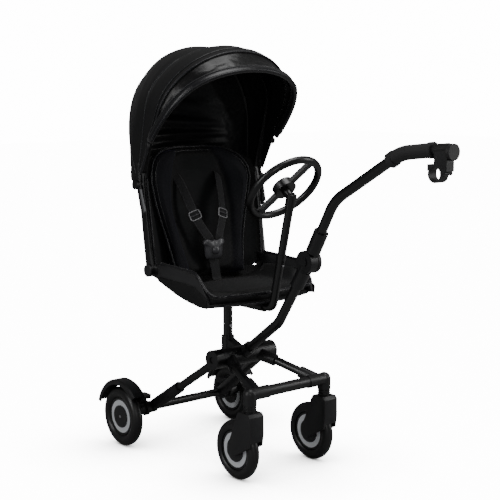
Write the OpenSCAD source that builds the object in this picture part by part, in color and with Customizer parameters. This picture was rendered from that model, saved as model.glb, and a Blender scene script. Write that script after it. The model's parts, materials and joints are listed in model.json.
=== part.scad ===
// Ride-on baby stroller: a seat with a folding hood and a steering wheel on a
// four-wheeled frame, with a jointed arm that clamps to the tube of a host stroller.
// +X is the child's left, -Y is the front, +Z is up, and the origin lies on the
// ground under the middle of the whole footprint. Sizes are in millimetres.

/* [Front wheels] */
// Outer diameter of a front wheel
front_wheel_d = 150; // [120:2:190]
// Width of a front tyre
front_tyre_w = 29; // [22:1:38]
// Distance between the two caster stems
caster_track = 247; // [200:1:320]
// How far a front axle trails behind its stem
caster_trail = 47; // [36:1:58]
// Height of the crossbar axis above the top of a front wheel
caster_head_h = 73; // [66:1:95]
/* [Rear wheels] */
// Outer diameter of a rear wheel
rear_wheel_d = 160; // [130:2:200]
// Width of a rear tyre
rear_tyre_w = 31; // [24:1:40]
// Distance between the middles of the rear wheels
rear_track = 378; // [330:1:460]
// Distance of the rear axle behind the hub
rear_axle_y = 274; // [230:1:340]
// Gap between a rear tyre and its fender
fender_gap = 18; // [12:1:30]
/* [Frame] */
// Height of the hub axis above the crossbar axis
hub_rise = 48; // [30:1:80]
// Overall length of the hub
hub_len = 200; // [180:1:240]
// Diameter of the hub barrel
hub_d = 50; // [44:1:60]
// Distance of the crossbar ahead of the hub
crossbar_y = 181; // [150:1:220]
// Diameter of the crossbar
crossbar_d = 28; // [22:1:34]
// Diameter of the leg tubes
leg_d = 22; // [16:1:25]
// Diameter of the seat post
post_d = 25; // [22:1:30]
/* [Seat] */
// Height of the underside of the seat above the hub axis
seat_rise = 153; // [145:1:200]
// Width over the two side panels of the seat
seat_w = 352; // [320:1:420]
// Distance of the backrest pivot behind the hub
pivot_y = 140; // [125:1:160]
// Height of the backrest pivot above the underside of the seat
pivot_h = 71; // [66:1:90]
// Distance of the front edge of the seat ahead of the hub
seat_front_y = 110; // [95:1:112]
// Thickness of the seat cushion
cushion_t = 24; // [16:1:28]
/* [Backrest] */
// Lean of the backrest behind the vertical, in degrees
lean = 8.3; // [4:0.1:15]
// Distance from the backrest pivot up to the hood hinge
hinge_s = 221; // [200:1:260]
// Height of the top of the liner above the backrest pivot
liner_h = 316; // [280:1:330]
// Depth of the curve of the backrest
back_curve = 50; // [35:1:60]
// Thickness of the liner
liner_t = 22; // [14:1:26]
/* [Hood] */
// Radius of the hood's front bow about its hinge, at the top
hood_r = 378; // [350:1:410]
// Forward angle of the front bow from the vertical
hood_front_a = 27.5; // [20:0.5:35]
// Thickness of the hood panels
hood_t = 3; // [2:0.5:4]
// Depth of the hood behind its hinge
hood_back = 150; // [120:1:160]
/* [Steering] */
// Outer diameter of the steering wheel
wheel_d = 210; // [180:1:230]
// Thickness of the steering wheel rim
rim_d = 19; // [14:1:22]
// Diameter of the steering column
column_d = 21; // [18:1:24]
/* [Arm] */
// Diameter of the arm tube
arm_d = 25; // [22:1:28]
// Diameter of the arm's folding knuckle
knuckle_d = 56; // [50:1:64]
// Diameter of the grip
grip_d = 36; // [32:1:40]
// Radius of the host tube that the clamp holds
host_r = 15; // [11:0.5:18]
/* [Clearances] */
// Radial clearance of a turning or sliding fit
fit = 0.05; // [0.02:0.01:0.1]
// Gap between the faces of neighbouring moving bodies
gap = 0.3; // [0.3:0.05:0.6]

/* [Hidden] */
$fn = 48;

black = "#17171b";
satin = "#232329";
cloth = "#101014";
grey = "#4a4a4e";

// Heights of the main axes
crossbar_z = front_wheel_d + caster_head_h;
hub_z = crossbar_z + hub_rise;
seat_z = hub_z + seat_rise;
pivot_z = seat_z + pivot_h;

// Clamp at the end of the arm, measured from the hub axis
clamp_y = -654;
clamp_z = 511;
clamp_w = 24;
clamp_band = 4;
clamp_block_l = 30;
clamp_block_h = 58;
knob_t = 10;
saddle_z = 6.4;
jaw_lug = 9;
jaw_y = -host_r - clamp_band - 5;
jaw_z = 3;
block_back_y = clamp_y + host_r - 12;
block_front_y = block_back_y - clamp_block_l - 6;

// The origin is centred on the footprint from the knob to the rear fender
fender_t = 4;
fender_r = rear_wheel_d / 2 + fender_gap + fender_t;
fender_start_a = 16;
fender_end_a = 138;
rear_reach = rear_axle_y + fender_r * cos(fender_start_a);
front_reach = -(block_front_y - gap - knob_t);
hub_y = (front_reach - rear_reach) / 2;

// Hub: a middle barrel, a journal at each end for the rear legs, and end caps
cap_t = 5;
lug_w = 20;
barrel_half = hub_len / 2 - cap_t - gap - lug_w - gap;
journal_d = hub_d - 14;
leg_root_x = barrel_half - 22;
lug_x = hub_len / 2 - cap_t - gap - lug_w / 2;

// Casters
stem_d = 14;
sleeve_d = 34;
sleeve_drop = 26;
fork_cheek = 5;
fork_slot_w = front_tyre_w + 5;
fork_w = fork_slot_w + 2 * fork_cheek;
wheel_gap = 3;
crown_top = crossbar_z - sleeve_drop - 17;
front_axle_z = front_wheel_d / 2;
front_axle_y = -crossbar_y + caster_trail;
axle_d = 8;

// Rear axle bar, ahead of and above the wheel axis
bar_y = rear_axle_y - 36;
bar_z = rear_wheel_d / 2 + 22;
bracket_in = rear_track / 2 - rear_tyre_w / 2 - 62;
bracket_out = rear_track / 2 - rear_tyre_w / 2 - 6;
leg_foot_x = rear_track / 2 - 69;
axle_boss = 18;

// Seat
side_t = 8;
pan_t = 6;
panel_in = seat_w / 2 - side_t;
strut_t = 9;
strut_w = 22;
strut_in = seat_w / 2 + 8;
strut_out = strut_in + strut_t;
pin_d = 12;
lip_y = -seat_front_y;
buckle_y = pivot_y - 22;

// Backrest curve, as an arc of this radius
shell_t = 6;
back_foot = -38;
shell_half = strut_in - 6;
shell_r = (shell_half * shell_half + back_curve * back_curve) / (2 * back_curve);
liner_half = shell_half - 14;

// Hood: nested panels, each a little larger than the one behind it
layer_x = hood_t + 2 * gap;
hood_half = strut_out + gap;
hinge_y = pivot_y + hinge_s * sin(lean);
hinge_z = pivot_z - hub_z + hinge_s * cos(lean);
front_half = hood_half + 2 * layer_x + hood_t;
mid_half = hood_half + layer_x + hood_t;
mid_r = hood_r - 29;
rear_half = hood_half + hood_t;
bow_straight = 0.56;
hood_foot = 40;
// Neighbouring strips of a panel differ by this much at the sides
strip_side = 0.1;
visor_s = 172;
visor_half = front_half + 2 * strip_side + gap + hood_t;
visor_r = hood_r - visor_s + 5;
visor_a = hood_front_a - 3;
visor_pin_d = 6;
mid_front_a = 10;
rear_top_a = 24;
hood_pin_d = 10;

// Steering column: a straight line that leans forward from the seat's front edge
column_lean = 13.5;
column_foot_y = lip_y - column_d / 2 - 5;
column_foot_z = seat_rise + 6;
column_len = 285;
column_split = 112;
hub_tilt = 49;
sleeve_in_d = column_d - 5;
sleeve_foot = 26;
button_d = 5;

// Arm: points from the hub axis, as [ahead-negative y, z]
arm_bend = [-146, 109];
knuckle = [-254, 275];
arm_knee = [-340, 429];
arm_crest = [-548, 550];
arm_tip = [-642, 561];
knuckle_w = 34;
tongue_w = 16;

// Bends of the tubes: how far a straight stretch laps into a bend, and its extra thickness
bend_lap = 1;
bend_swell = 0.4;

function dir(a, b) = (b - a) / norm(b - a);
function angle_of(v) = atan2(v[1], v[0]);
function turn(a, b, c) = angle_of([
    dir(a, b) * dir(b, c),
    dir(a, b)[0] * dir(b, c)[1] - dir(a, b)[1] * dir(b, c)[0]]);
function trim_at(pts, i, bend) =
    (i <= 0 || i >= len(pts) - 1) ? 0
    : bend * tan(abs(turn(pts[i - 1], pts[i], pts[i + 1])) / 2);
function leg_root() = [leg_root_x, 0, 0];
function leg_end() = [caster_track / 2 - 22, -crossbar_y, -hub_rise];
function bow_point(t, half, r) =
    [half * cos(t), r * bow_straight + r * (1 - bow_straight) * sin(t)];

// Puts its children on the hub axis
module at_hub() {
    translate([0, hub_y, hub_z]) children();
}

// Turns a drawing in the XY plane into the fore-and-aft plane: X to Y, Y to Z
module side_plane() {
    rotate([90, 0, 90]) children();
}

// A copy on each side of the centre plane
module both_sides() {
    children();
    mirror([1, 0, 0]) children();
}

// The child's left is side 1 and the right is side -1
module on_side(side) {
    mirror([side < 0 ? 1 : 0, 0, 0]) children();
}

// A round bar between two points in space
module rod(a, b, d) {
    v = b - a;
    translate(a) rotate([0, acos(v[2] / norm(v)), atan2(v[1], v[0])]) cylinder(d = d, h = norm(v));
}

// A round bar along a line of points in one plane, with rounded bends. Each bend is
// drawn a little thicker than the bar, and the straight stretches run on into it.
module bent_bar(pts, d, bend) {
    for (i = [0 : len(pts) - 2]) {
        u = dir(pts[i], pts[i + 1]);
        start = max(trim_at(pts, i, bend) - bend_lap, 0);
        finish = max(trim_at(pts, i + 1, bend) - bend_lap, 0);
        p = pts[i] + u * start;
        translate([p[0], p[1], 0]) rotate([0, 90, angle_of(u)])
            cylinder(d = d, h = norm(pts[i + 1] - pts[i]) - start - finish);
    }
    if (len(pts) > 2) {
        for (i = [1 : len(pts) - 2]) {
            a = turn(pts[i - 1], pts[i], pts[i + 1]);
            u = dir(pts[i - 1], pts[i]);
            p = pts[i] - u * trim_at(pts, i, bend);
            side = a > 0 ? 1 : -1;
            c = p + side * bend * [-u[1], u[0]];
            first = a > 0 ? angle_of(u) - 90 : angle_of(u) + 90 + a;
            translate([c[0], c[1], 0]) rotate([0, 0, first])
                rotate_extrude(angle = abs(a)) translate([bend, 0]) circle(d = d + bend_swell);
        }
    }
}

// A cylinder along X
module x_rod(d, x0, x1) {
    translate([x0, 0, 0]) rotate([0, 90, 0]) cylinder(d = d, h = x1 - x0);
}

// ---- Frame ----

module hub_housing() {
    leg_u = dir(leg_root(), leg_end());
    color(satin) at_hub() difference() {
        union() {
            x_rod(hub_d, -barrel_half, barrel_half);
            x_rod(journal_d, -hub_len / 2 + cap_t, hub_len / 2 - cap_t);
            both_sides() rod(leg_root() - [10, 0, 0], leg_root() + leg_u * 60, leg_d + 10);
            side_plane() translate([0, 0, -12]) linear_extrude(24)
                polygon([[0, 18], [58, 40], [58, 2], [20, -16]]);
            translate([0, 58, -2]) cylinder(d = post_d + 9, h = 44);
            rod([0, 0, 0], [0, 44 * dir([0, 0], arm_bend)[0], 44 * dir([0, 0], arm_bend)[1]],
                arm_d + 10);
        }
        translate([0, 58, 8]) cylinder(d = post_d, h = 80);
        arm_u = dir([0, 0], arm_bend);
        rod([0, 20 * arm_u[0], 20 * arm_u[1]], [0, 80 * arm_u[0], 80 * arm_u[1]], arm_d);
        both_sides() rod(leg_root() + leg_u * 30, leg_root() + leg_u * 90, leg_d);
        x_rod(8, -hub_len / 2, hub_len / 2);
    }
}

module hub_caps() {
    color(black) at_hub() both_sides() difference() {
        union() {
            x_rod(hub_d + 1, hub_len / 2 - cap_t, hub_len / 2);
            x_rod(8, hub_len / 2 - 30, hub_len / 2 - cap_t);
        }
        translate([hub_len / 2 - 3, 0, 0]) rotate([0, 90, 0]) cylinder(d = 17, h = 5);
    }
}

module front_leg(side) {
    root = leg_root();
    foot = leg_end();
    u = dir(root, foot);
    color(black) at_hub() on_side(side) rod(root + u * 30, foot - u * 22, leg_d);
}

module front_corner(side) {
    root = leg_root();
    foot = leg_end();
    u = dir(root, foot);
    x = caster_track / 2;
    top = crossbar_z - hub_z;
    color(satin) at_hub() on_side(side) difference() {
        union() {
            translate([0, -crossbar_y, top]) x_rod(crossbar_d + 4, x - 58, x);
            translate([x, -crossbar_y, top]) sphere(d = sleeve_d);
            translate([x, -crossbar_y, top - sleeve_drop]) cylinder(d = sleeve_d, h = sleeve_drop);
            rod(foot - u * 54, foot, leg_d + 9);
        }
        translate([0, -crossbar_y, top]) x_rod(crossbar_d, 0, x - 30);
        rod(foot - u * 80, foot - u * 22, leg_d);
        translate([x, -crossbar_y, top - sleeve_drop - 1])
            cylinder(d = stem_d + 2 * fit, h = sleeve_drop + 1);
    }
}

module front_crossbar() {
    half = caster_track / 2 - 30;
    color(black) translate([0, hub_y - crossbar_y, crossbar_z]) x_rod(crossbar_d, -half, half);
}

module seat_post_outer() {
    color(black) translate([0, hub_y + 58, hub_z + 8]) difference() {
        cylinder(d = post_d, h = 117);
        translate([0, 0, 4]) cylinder(d = post_d - 5 + 2 * fit, h = 120);
        translate([0, -post_d, 62]) rotate([-90, 0, 0]) cylinder(d = 5, h = post_d);
    }
}

module seat_post_screw() {
    color("silver") translate([0, hub_y + 58 - post_d / 2, hub_z + 70]) rotate([90, 0, 0])
        union() {
            cylinder(d = 9, h = 3);
            translate([0, 0, -2.4]) cylinder(d = 5, h = 3);
        }
}

// ---- Rear frame, hinged on the hub journals ----

function leg_top() = [lug_x, 26, -22];
function leg_foot() = [leg_foot_x, bar_y, bar_z - hub_z];

module rear_leg(side) {
    u = dir(leg_top(), leg_foot());
    color(black) at_hub() on_side(side) difference() {
        union() {
            x_rod(hub_d, lug_x - lug_w / 2, lug_x + lug_w / 2);
            rod([lug_x, 4, -20], leg_top(), leg_d - 2);
            translate(leg_top()) sphere(d = leg_d + 2);
            rod(leg_top(), leg_foot() - u * 24, leg_d);
        }
        x_rod(journal_d + 2 * fit, lug_x - lug_w, lug_x + lug_w);
    }
}

module rear_bracket(side) {
    u = dir(leg_top(), leg_foot());
    low = rear_wheel_d / 2 - hub_z;
    color(satin) at_hub() on_side(side) difference() {
        union() {
            rod(leg_foot() - u * 128, leg_foot(), leg_d + 9);
            translate([0, bar_y, bar_z - hub_z]) x_rod(leg_d + 10, bracket_in, bracket_out);
            translate([0, rear_axle_y, low]) x_rod(24, bracket_out - axle_boss, bracket_out);
            rod([bracket_out - axle_boss / 2, bar_y, bar_z - hub_z],
                [bracket_out - axle_boss / 2, rear_axle_y, low], axle_boss - 1);
        }
        rod(leg_foot() - u * 140, leg_foot() - u * 24, leg_d);
        translate([0, bar_y, bar_z - hub_z]) x_rod(leg_d, 0, bracket_in + 24);
        translate([0, rear_axle_y, low]) x_rod(axle_d, bracket_out - 30, bracket_out + 10);
    }
}

module rear_axle_bar() {
    half = bracket_in + 24;
    color(black) translate([0, hub_y + bar_y, bar_z]) x_rod(leg_d, -half, half);
}

module rear_axle_pins() {
    color("silver") translate([0, hub_y + rear_axle_y, rear_wheel_d / 2]) both_sides()
        x_rod(axle_d, bracket_out - axle_boss, rear_track / 2 + rear_tyre_w / 2 - 4);
}

module fender(side) {
    x0 = rear_track / 2 - rear_tyre_w / 2 - 5;
    w = rear_tyre_w + 8;
    r = fender_r;
    stay_a = fender_end_a - 14;
    color(black) on_side(side) translate([x0, hub_y + rear_axle_y, rear_wheel_d / 2])
        side_plane() union() {
            rotate([0, 0, fender_start_a])
                rotate_extrude(angle = fender_end_a - fender_start_a)
                    polygon([[r - fender_t, 0], [r - 14, 0], [r - 14, 3], [r - fender_t, 4],
                        [r - fender_t, w - 4], [r - 14, w - 3], [r - 14, w], [r - 3, w],
                        [r, w - 4], [r, 4], [r - 3, 0]]);
            linear_extrude(3) polygon([[0, 12], [-24, 10], (r - 8) * [cos(stay_a + 12), sin(stay_a + 12)],
                (r - 8) * [cos(stay_a - 12), sin(stay_a - 12)], [8, 8]]);
            translate([bar_y - rear_axle_y, bar_z - rear_wheel_d / 2, -1])
                cylinder(d = leg_d + 8, h = 4);
        }
}

// ---- Wheels ----

module tyre(d, w, seat_r) {
    rotate_extrude() difference() {
        translate([d / 2 - w / 2, 0]) circle(d = w);
        translate([0, -w]) square([seat_r, 2 * w]);
    }
}

module rim(seat_r, w, hub_r, hub_w, spokes, bore_d) {
    difference() {
        union() {
            rotate_extrude() polygon([[seat_r, -w / 2 + 2], [seat_r, w / 2 - 2], [seat_r - 2, w / 2],
                [seat_r - 7, w / 2], [seat_r - 7, -w / 2], [seat_r - 2, -w / 2]]);
            translate([0, 0, -hub_w / 2]) cylinder(r = hub_r, h = hub_w);
            for (i = [0 : spokes - 1]) rotate([0, 0, 90 + i * 360 / spokes])
                translate([hub_r - 2, -2.5, -w / 3]) cube([seat_r - 5 - hub_r + 2, 5, w * 0.66]);
        }
        translate([0, 0, -hub_w]) cylinder(d = bore_d, h = 2 * hub_w);
    }
}

module at_rear_wheel(side) {
    translate([side * rear_track / 2, hub_y + rear_axle_y, rear_wheel_d / 2]) side_plane() children();
}

module at_front_wheel(side) {
    translate([side * caster_track / 2, hub_y + front_axle_y, front_axle_z]) side_plane() children();
}

module rear_tyre(side) {
    color("#1b1b1d") at_rear_wheel(side) tyre(rear_wheel_d, rear_tyre_w, rear_wheel_d / 2 - 28);
}

module rear_rim(side) {
    color(grey) at_rear_wheel(side)
        rim(rear_wheel_d / 2 - 28, rear_tyre_w * 0.62, 30, rear_tyre_w * 0.7, 3, axle_d + 2 * fit);
}

module front_tyre(side) {
    color("#1b1b1d") at_front_wheel(side) tyre(front_wheel_d, front_tyre_w, front_wheel_d / 2 - 24);
}

module front_rim(side) {
    color(grey) at_front_wheel(side)
        rim(front_wheel_d / 2 - 24, front_tyre_w * 0.62, 30, front_tyre_w * 0.7, 3, axle_d + 2 * fit);
}

// ---- Brake pedals, hinged on the rear axle bar brackets ----

module brake_pedal(side) {
    x0 = leg_foot_x + leg_d / 2 + 6.5;
    x1 = bracket_out - axle_boss - 1.5;
    core_d = leg_d + 10;
    color(black) on_side(side) translate([0, hub_y + bar_y, bar_z]) difference() {
        union() {
            x_rod(core_d + 9, x0, x1);
            translate([x0, 0, core_d / 2]) cube([x1 - x0, 26, 14]);
            translate([x0 - 16, 2, core_d / 2 + 6]) cube([x1 - x0 + 26, 30, 12]);
        }
        x_rod(core_d + 2 * fit, x0 - 1, x1 + 1);
    }
}

// ---- Casters ----

module caster_fork(side) {
    r = front_wheel_d / 2;
    head = crown_top - front_axle_z;
    color(satin) translate([side * caster_track / 2, hub_y + front_axle_y, front_axle_z]) union() {
        difference() {
            union() {
                side_plane() translate([0, 0, -fork_w / 2]) linear_extrude(fork_w) union() {
                    polygon([[-caster_trail - 26, head - 8], [-caster_trail - 20, head],
                        [-caster_trail + 18, head], [-caster_trail + 24, head - 8],
                        [12, 10], [8, -13], [-10, -12], [-caster_trail - 22, 22],
                        [-caster_trail - 27, 52]]);
                    circle(r = 15);
                }
                translate([0, -caster_trail, head]) cylinder(d = 27, h = 17 - gap);
                translate([0, -caster_trail, head + 3]) cylinder(d = 32, h = 4);
                translate([0, -caster_trail, head + 10]) cylinder(d = 32, h = 4);
            }
            x_rod(front_wheel_d + 2 * wheel_gap, -fork_slot_w / 2, fork_slot_w / 2);
        }
        translate([0, -caster_trail, head]) cylinder(d = stem_d, h = 17 + sleeve_drop - 2);
        x_rod(axle_d, -fork_w / 2, fork_w / 2);
    }
}

// ---- Seat, on the sliding inner post ----

module seat_outline(inset) {
    half = panel_in - inset;
    front = seat_front_y - 40;
    polygon(concat([[-half, pivot_y - 18], [-half, -front]],
        [for (i = [1 : 11]) let (t = i / 12) [-half + 2 * half * t,
            -front - (40 - inset) * sin(180 * t)]],
        [[half, -front], [half, pivot_y - 18]]));
}

module seat_post_inner() {
    color(black) translate([0, hub_y + 58, hub_z + 40]) cylinder(d = post_d - 5,
        h = seat_rise - 40 - 6);
}

module seat_mount() {
    color(satin) at_hub() difference() {
        union() {
            translate([-60, -40, seat_rise - 6]) cube([120, 130, 6]);
            translate([0, 58, seat_rise - 22]) cylinder(d = post_d + 8, h = 17);
            translate([0, -92, seat_rise - 11]) rotate([-90, 0, 0]) cylinder(d = column_d + 8, h = 110);
        }
        translate([0, 58, seat_rise - 30]) cylinder(d = post_d - 5, h = 24);
        translate([0, -100, seat_rise - 11]) rotate([-90, 0, 0]) cylinder(d = column_d, h = 104);
        translate([-80, -120, seat_rise]) cube([160, 240, 30]);
    }
}

module seat_pan() {
    color(cloth) translate([0, hub_y, seat_z]) union() {
        linear_extrude(pan_t) seat_outline(0);
        translate([0, 0, pan_t]) linear_extrude(14) difference() {
            seat_outline(0);
            seat_outline(9);
            translate([-seat_w, -20]) square([2 * seat_w, seat_w]);
        }
    }
}

module seat_sides() {
    top = pivot_h;
    color(grey) translate([0, hub_y, seat_z]) both_sides() union() {
        translate([panel_in, 0, 0]) side_plane() linear_extrude(side_t) union() {
            polygon([[pivot_y, top + 15], [20, top + 14], [-30, top + 8], [-58, top - 14],
                [-78, top - 42], [-82, 4], [-70, 0], [40, 4], [110, 26], [pivot_y, top - 16]]);
            translate([pivot_y, top]) circle(d = 32);
        }
        translate([0, pivot_y, top]) x_rod(30, panel_in, strut_in - gap);
        translate([0, pivot_y, top]) x_rod(pin_d, strut_in - 1, strut_out + 1);
        translate([0, pivot_y, top]) x_rod(32, strut_out + gap, strut_out + gap + 5);
    }
}

module seat_cushion() {
    color(cloth) translate([0, hub_y, seat_z + pan_t]) linear_extrude(cushion_t)
        difference() {
            seat_outline(10);
            translate([-seat_w, pivot_y - 32]) square([2 * seat_w, 40]);
        }
}

module crotch_strap() {
    top = pan_t + cushion_t;
    color(grey) translate([0, hub_y, seat_z + top]) union() {
        translate([-14, buckle_y - 8, 0]) cube([28, 4, 56]);
        translate([-16, buckle_y - 18, 0]) cube([32, 16, 3]);
    }
}

module buckle_body() {
    z = pan_t + cushion_t + 56;
    color("#5a5a5c") translate([0, hub_y + buckle_y, seat_z + z]) difference() {
        side_plane() translate([0, 0, -33]) linear_extrude(66)
            polygon([[-8, 0], [5, 0], [7, 10], [7, 46], [4, 54], [-6, 54], [-10, 44], [-10, 8]]);
        translate([0, -11, 24]) rotate([-90, 0, 0]) cylinder(d = 22 + 4 * fit, h = 9);
    }
}

module buckle_button() {
    z = pan_t + cushion_t + 56;
    color("#6a6a6c") translate([0, hub_y + buckle_y, seat_z + z]) translate([0, -13, 24])
        rotate([-90, 0, 0]) cylinder(d = 22, h = 7);
}

// ---- Steering column ----

module at_column() {
    at_hub() translate([0, column_foot_y, column_foot_z]) rotate([column_lean, 0, 0]) children();
}

module column_lower() {
    top = [column_foot_y - column_split * sin(column_lean),
        column_foot_z + column_split * cos(column_lean)];
    corner = [column_foot_y + 17 * sin(column_lean), seat_rise - 11];
    path = [[2, seat_rise - 11], corner, top];
    color(black) difference() {
        at_hub() side_plane() bent_bar(path, column_d, 19);
        at_column() translate([0, 0, sleeve_foot]) cylinder(d = sleeve_in_d + 2 * fit, h = column_len);
        at_column() translate([-button_d / 2 - fit, -column_d, column_split - 12 - button_d / 2])
            cube([button_d + 2 * fit, column_d, 40]);
    }
}

module column_upper() {
    color(black) at_column() difference() {
        union() {
            translate([0, 0, sleeve_foot + 6]) cylinder(d = sleeve_in_d,
                h = column_len - sleeve_foot - 6);
            translate([0, 0, column_split + gap]) cylinder(d = column_d + 3, h = 14);
            translate([0, 0, column_split + 14]) cylinder(d = column_d,
                h = column_len - column_split - 20);
            translate([0, 0, column_len - 34]) cylinder(d = column_d + 5, h = 30);
            at_column_head() translate([0, 0, -6]) cylinder(d = 24, h = 30);
            at_column_head() cylinder(d = 6, h = 34);
        }
        translate([0, 0, column_split - 12]) rotate([90, 0, 0])
            cylinder(d = button_d + 2 * fit, h = column_d);
        at_column_head() translate([0, 0, 24]) difference() {
            cylinder(d = 80, h = 40);
            cylinder(d = 6, h = 41);
        }
    }
}

module at_column_head() {
    translate([0, 0, column_len - 12]) rotate([-hub_tilt - column_lean, 0, 0]) children();
}

module column_button() {
    color("silver") at_column() translate([0, 0, column_split - 12]) rotate([90, 0, 0])
        translate([0, 0, 4]) cylinder(d = button_d, h = column_d / 2 - 1);
}

module at_steering() {
    at_column() at_column_head() translate([0, 0, 24 + gap]) children();
}

module steering_wheel() {
    r = wheel_d / 2 - rim_d / 2;
    color(black) at_steering() difference() {
        union() {
            translate([0, 0, 9]) rotate_extrude($fn = 72) translate([r, 0]) circle(d = rim_d);
            cylinder(d = 56, h = 20);
            for (a = [113, 293]) rotate([0, 0, a]) translate([15, -9, 4]) cube([r - 18, 18, 10]);
        }
        translate([0, 0, 12]) cylinder(d = 30 + 2 * fit, h = 20);
        translate([0, 0, -1]) cylinder(d = 6 + 2 * fit, h = 30);
    }
}

module horn_button() {
    color(satin) at_steering() difference() {
        intersection() {
            translate([0, 0, 15.5]) cylinder(d = 30, h = 12);
            translate([0, 0, 7]) sphere(d = 36);
        }
        translate([0, 0, 10]) cylinder(d = 2, h = 6);
    }
}

// ---- Backrest ----

module at_backrest() {
    translate([0, hub_y + pivot_y, pivot_z]) rotate([-lean, 0, 0]) children();
}

module backrest_frame() {
    top_s = hinge_s + 44;
    color(black) at_backrest() union() {
        both_sides() difference() {
            translate([strut_in, 0, 0]) side_plane() linear_extrude(strut_t) union() {
                polygon([[-strut_w / 2, 0], [strut_w / 2, 0], [strut_w / 2, top_s],
                    [-strut_w / 2, top_s]]);
                circle(d = 32);
            }
            x_rod(pin_d + 2 * fit, strut_in - 1, strut_out + 1);
            translate([0, 0, hinge_s]) x_rod(hood_pin_d, strut_in - 1, strut_out + 1);
        }
        intersection() {
            translate([0, back_curve + gap - shell_r, top_s - 12]) difference() {
                cylinder(r = shell_r + 6, h = 10, $fn = 96);
                translate([0, 0, -1]) cylinder(r = shell_r, h = 12, $fn = 96);
            }
            translate([-strut_in, -20, top_s - 20]) cube([2 * strut_in, 120, 30]);
        }
    }
}

// A curved slab, centred on the backrest's curve and open towards the child
module curved_slab(r, t, s0, s1) {
    translate([0, back_curve - shell_r, s0]) difference() {
        cylinder(r = r, h = s1 - s0, $fn = 96);
        translate([0, 0, -1]) cylinder(r = r - t, h = s1 - s0 + 2, $fn = 96);
    }
}

// Outline of the backrest seen from the front, as [x, height above the pivot]
module back_outline(half, low_half, s0, s_side, s1) {
    translate([0, 200, 0]) rotate([90, 0, 0]) linear_extrude(400)
        polygon(concat([[-low_half, s0], [low_half, s0]],
            [for (i = [0 : 16]) let (a = 180 * i / 16)
                [half * cos(a), s_side + (s1 - s_side) * sin(a)]]));
}

module backrest_shell() {
    color(cloth) at_backrest() intersection() {
        curved_slab(shell_r, shell_t, back_foot, liner_h);
        back_outline(shell_half - 1, shell_half - 36, back_foot, hinge_s - 20, liner_h - 8);
    }
}

module seat_liner() {
    r = shell_r - shell_t - gap;
    color("#1a1a22") at_backrest() intersection() {
        curved_slab(r, liner_t, back_foot + 2, liner_h);
        back_outline(liner_half, liner_half - 50, back_foot + 2, hinge_s - 6, liner_h);
    }
}

module shoulder_straps() {
    r = shell_r - shell_t - gap - liner_t;
    color(grey) at_backrest() both_sides() intersection() {
        curved_slab(r, 3, 100, hinge_s + 12);
        translate([0, 200, 0]) rotate([90, 0, 0]) linear_extrude(400)
            polygon([[26, 100], [50, 100], [84, hinge_s + 12], [60, hinge_s + 12]]);
    }
}

// ---- Hood ----

module at_hood() {
    at_hub() translate([0, hinge_y, hinge_z]) children();
}

module hood_hinges() {
    color(satin) at_hood() both_sides() union() {
        x_rod(hood_pin_d, strut_out - 1, front_half + gap);
        x_rod(22, strut_out, mid_half - hood_t - gap);
        x_rod(24, front_half + gap, front_half + gap + 8);
    }
}

// A hood panel: the bow's outline swept about the hinge between two forward angles. It is
// t thick at the crown and as thick as the cloth at the sides.
module hood_panel(half, r, t, a0, a1, inner_r) {
    outer = [for (i = [0 : 24]) bow_point(i * 7.5, half, r)];
    inner = [for (i = [24 : -1 : 0]) bow_point(i * 7.5, half - hood_t, r - t)];
    section = concat([[half, inner_r]], outer, [[-half, inner_r], [hood_t - half, inner_r]],
        inner, [[half - hood_t, inner_r]]);
    side_plane() rotate([0, 0, 90 + a0]) rotate_extrude(angle = a1 - a0)
        polygon([for (p = section) [p[1], p[0]]]);
}

// The flat bar that carries a bow, turning on the hinge pin
module hood_arm(half, length, a) {
    both_sides() difference() {
        rotate([a, 0, 0]) union() {
            x_rod(20, half - hood_t, half);
            translate([half - hood_t + 0.4, -7, 0]) cube([hood_t - 0.8, 14, length]);
        }
        x_rod(hood_pin_d + 2 * fit, half - 10, half + 10);
    }
}

module hood_front() {
    color(cloth) at_hood() difference() {
        union() {
            hood_panel(front_half, hood_r - 21, hood_t, mid_front_a + 1, hood_front_a - 8,
                hood_foot);
            hood_panel(front_half + strip_side, hood_r - 10, 16, hood_front_a - 9,
                hood_front_a - 3.2, hood_foot - 3);
            hood_panel(front_half + 2 * strip_side, hood_r, 18, hood_front_a - 4,
                hood_front_a, hood_foot - 6);
            hood_arm(front_half, 60, hood_front_a - 6);
        }
        rotate([visor_a, 0, 0]) translate([0, 0, visor_s])
            x_rod(visor_pin_d + 2 * fit, -front_half - 1, front_half + 1);
    }
}

module hood_mid() {
    color(cloth) at_hood() union() {
        hood_panel(mid_half, mid_r, hood_t, -rear_top_a, mid_front_a, 50);
        hood_arm(mid_half, 70, 3);
    }
}

// Straight sides and then half an ellipse in plan, open to the front
module back_plan(half, depth) {
    polygon(concat([[-half, 0], [half, 0]],
        [for (i = [0 : 24]) [half * cos(i * 7.5), 24 + (depth - 24) * sin(i * 7.5)]]));
}

module hood_rear_solid(grow) {
    half = rear_half + grow;
    depth = hood_back + grow;
    hull() {
        translate([0, 0, 20]) linear_extrude(1) back_plan(half, depth - 10);
        translate([0, 8, 160]) linear_extrude(1) back_plan(half, depth);
        rotate([-rear_top_a, 0, 0]) rotate([90, 0, 0]) linear_extrude(1)
            polygon([for (i = [0 : 24]) bow_point(i * 7.5, half - 3, mid_r - 12 + grow)]);
    }
}

module hood_rear() {
    color(cloth) at_hood() difference() {
        hood_rear_solid(0);
        translate([0, -2, -2]) hood_rear_solid(-hood_t);
    }
}

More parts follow.
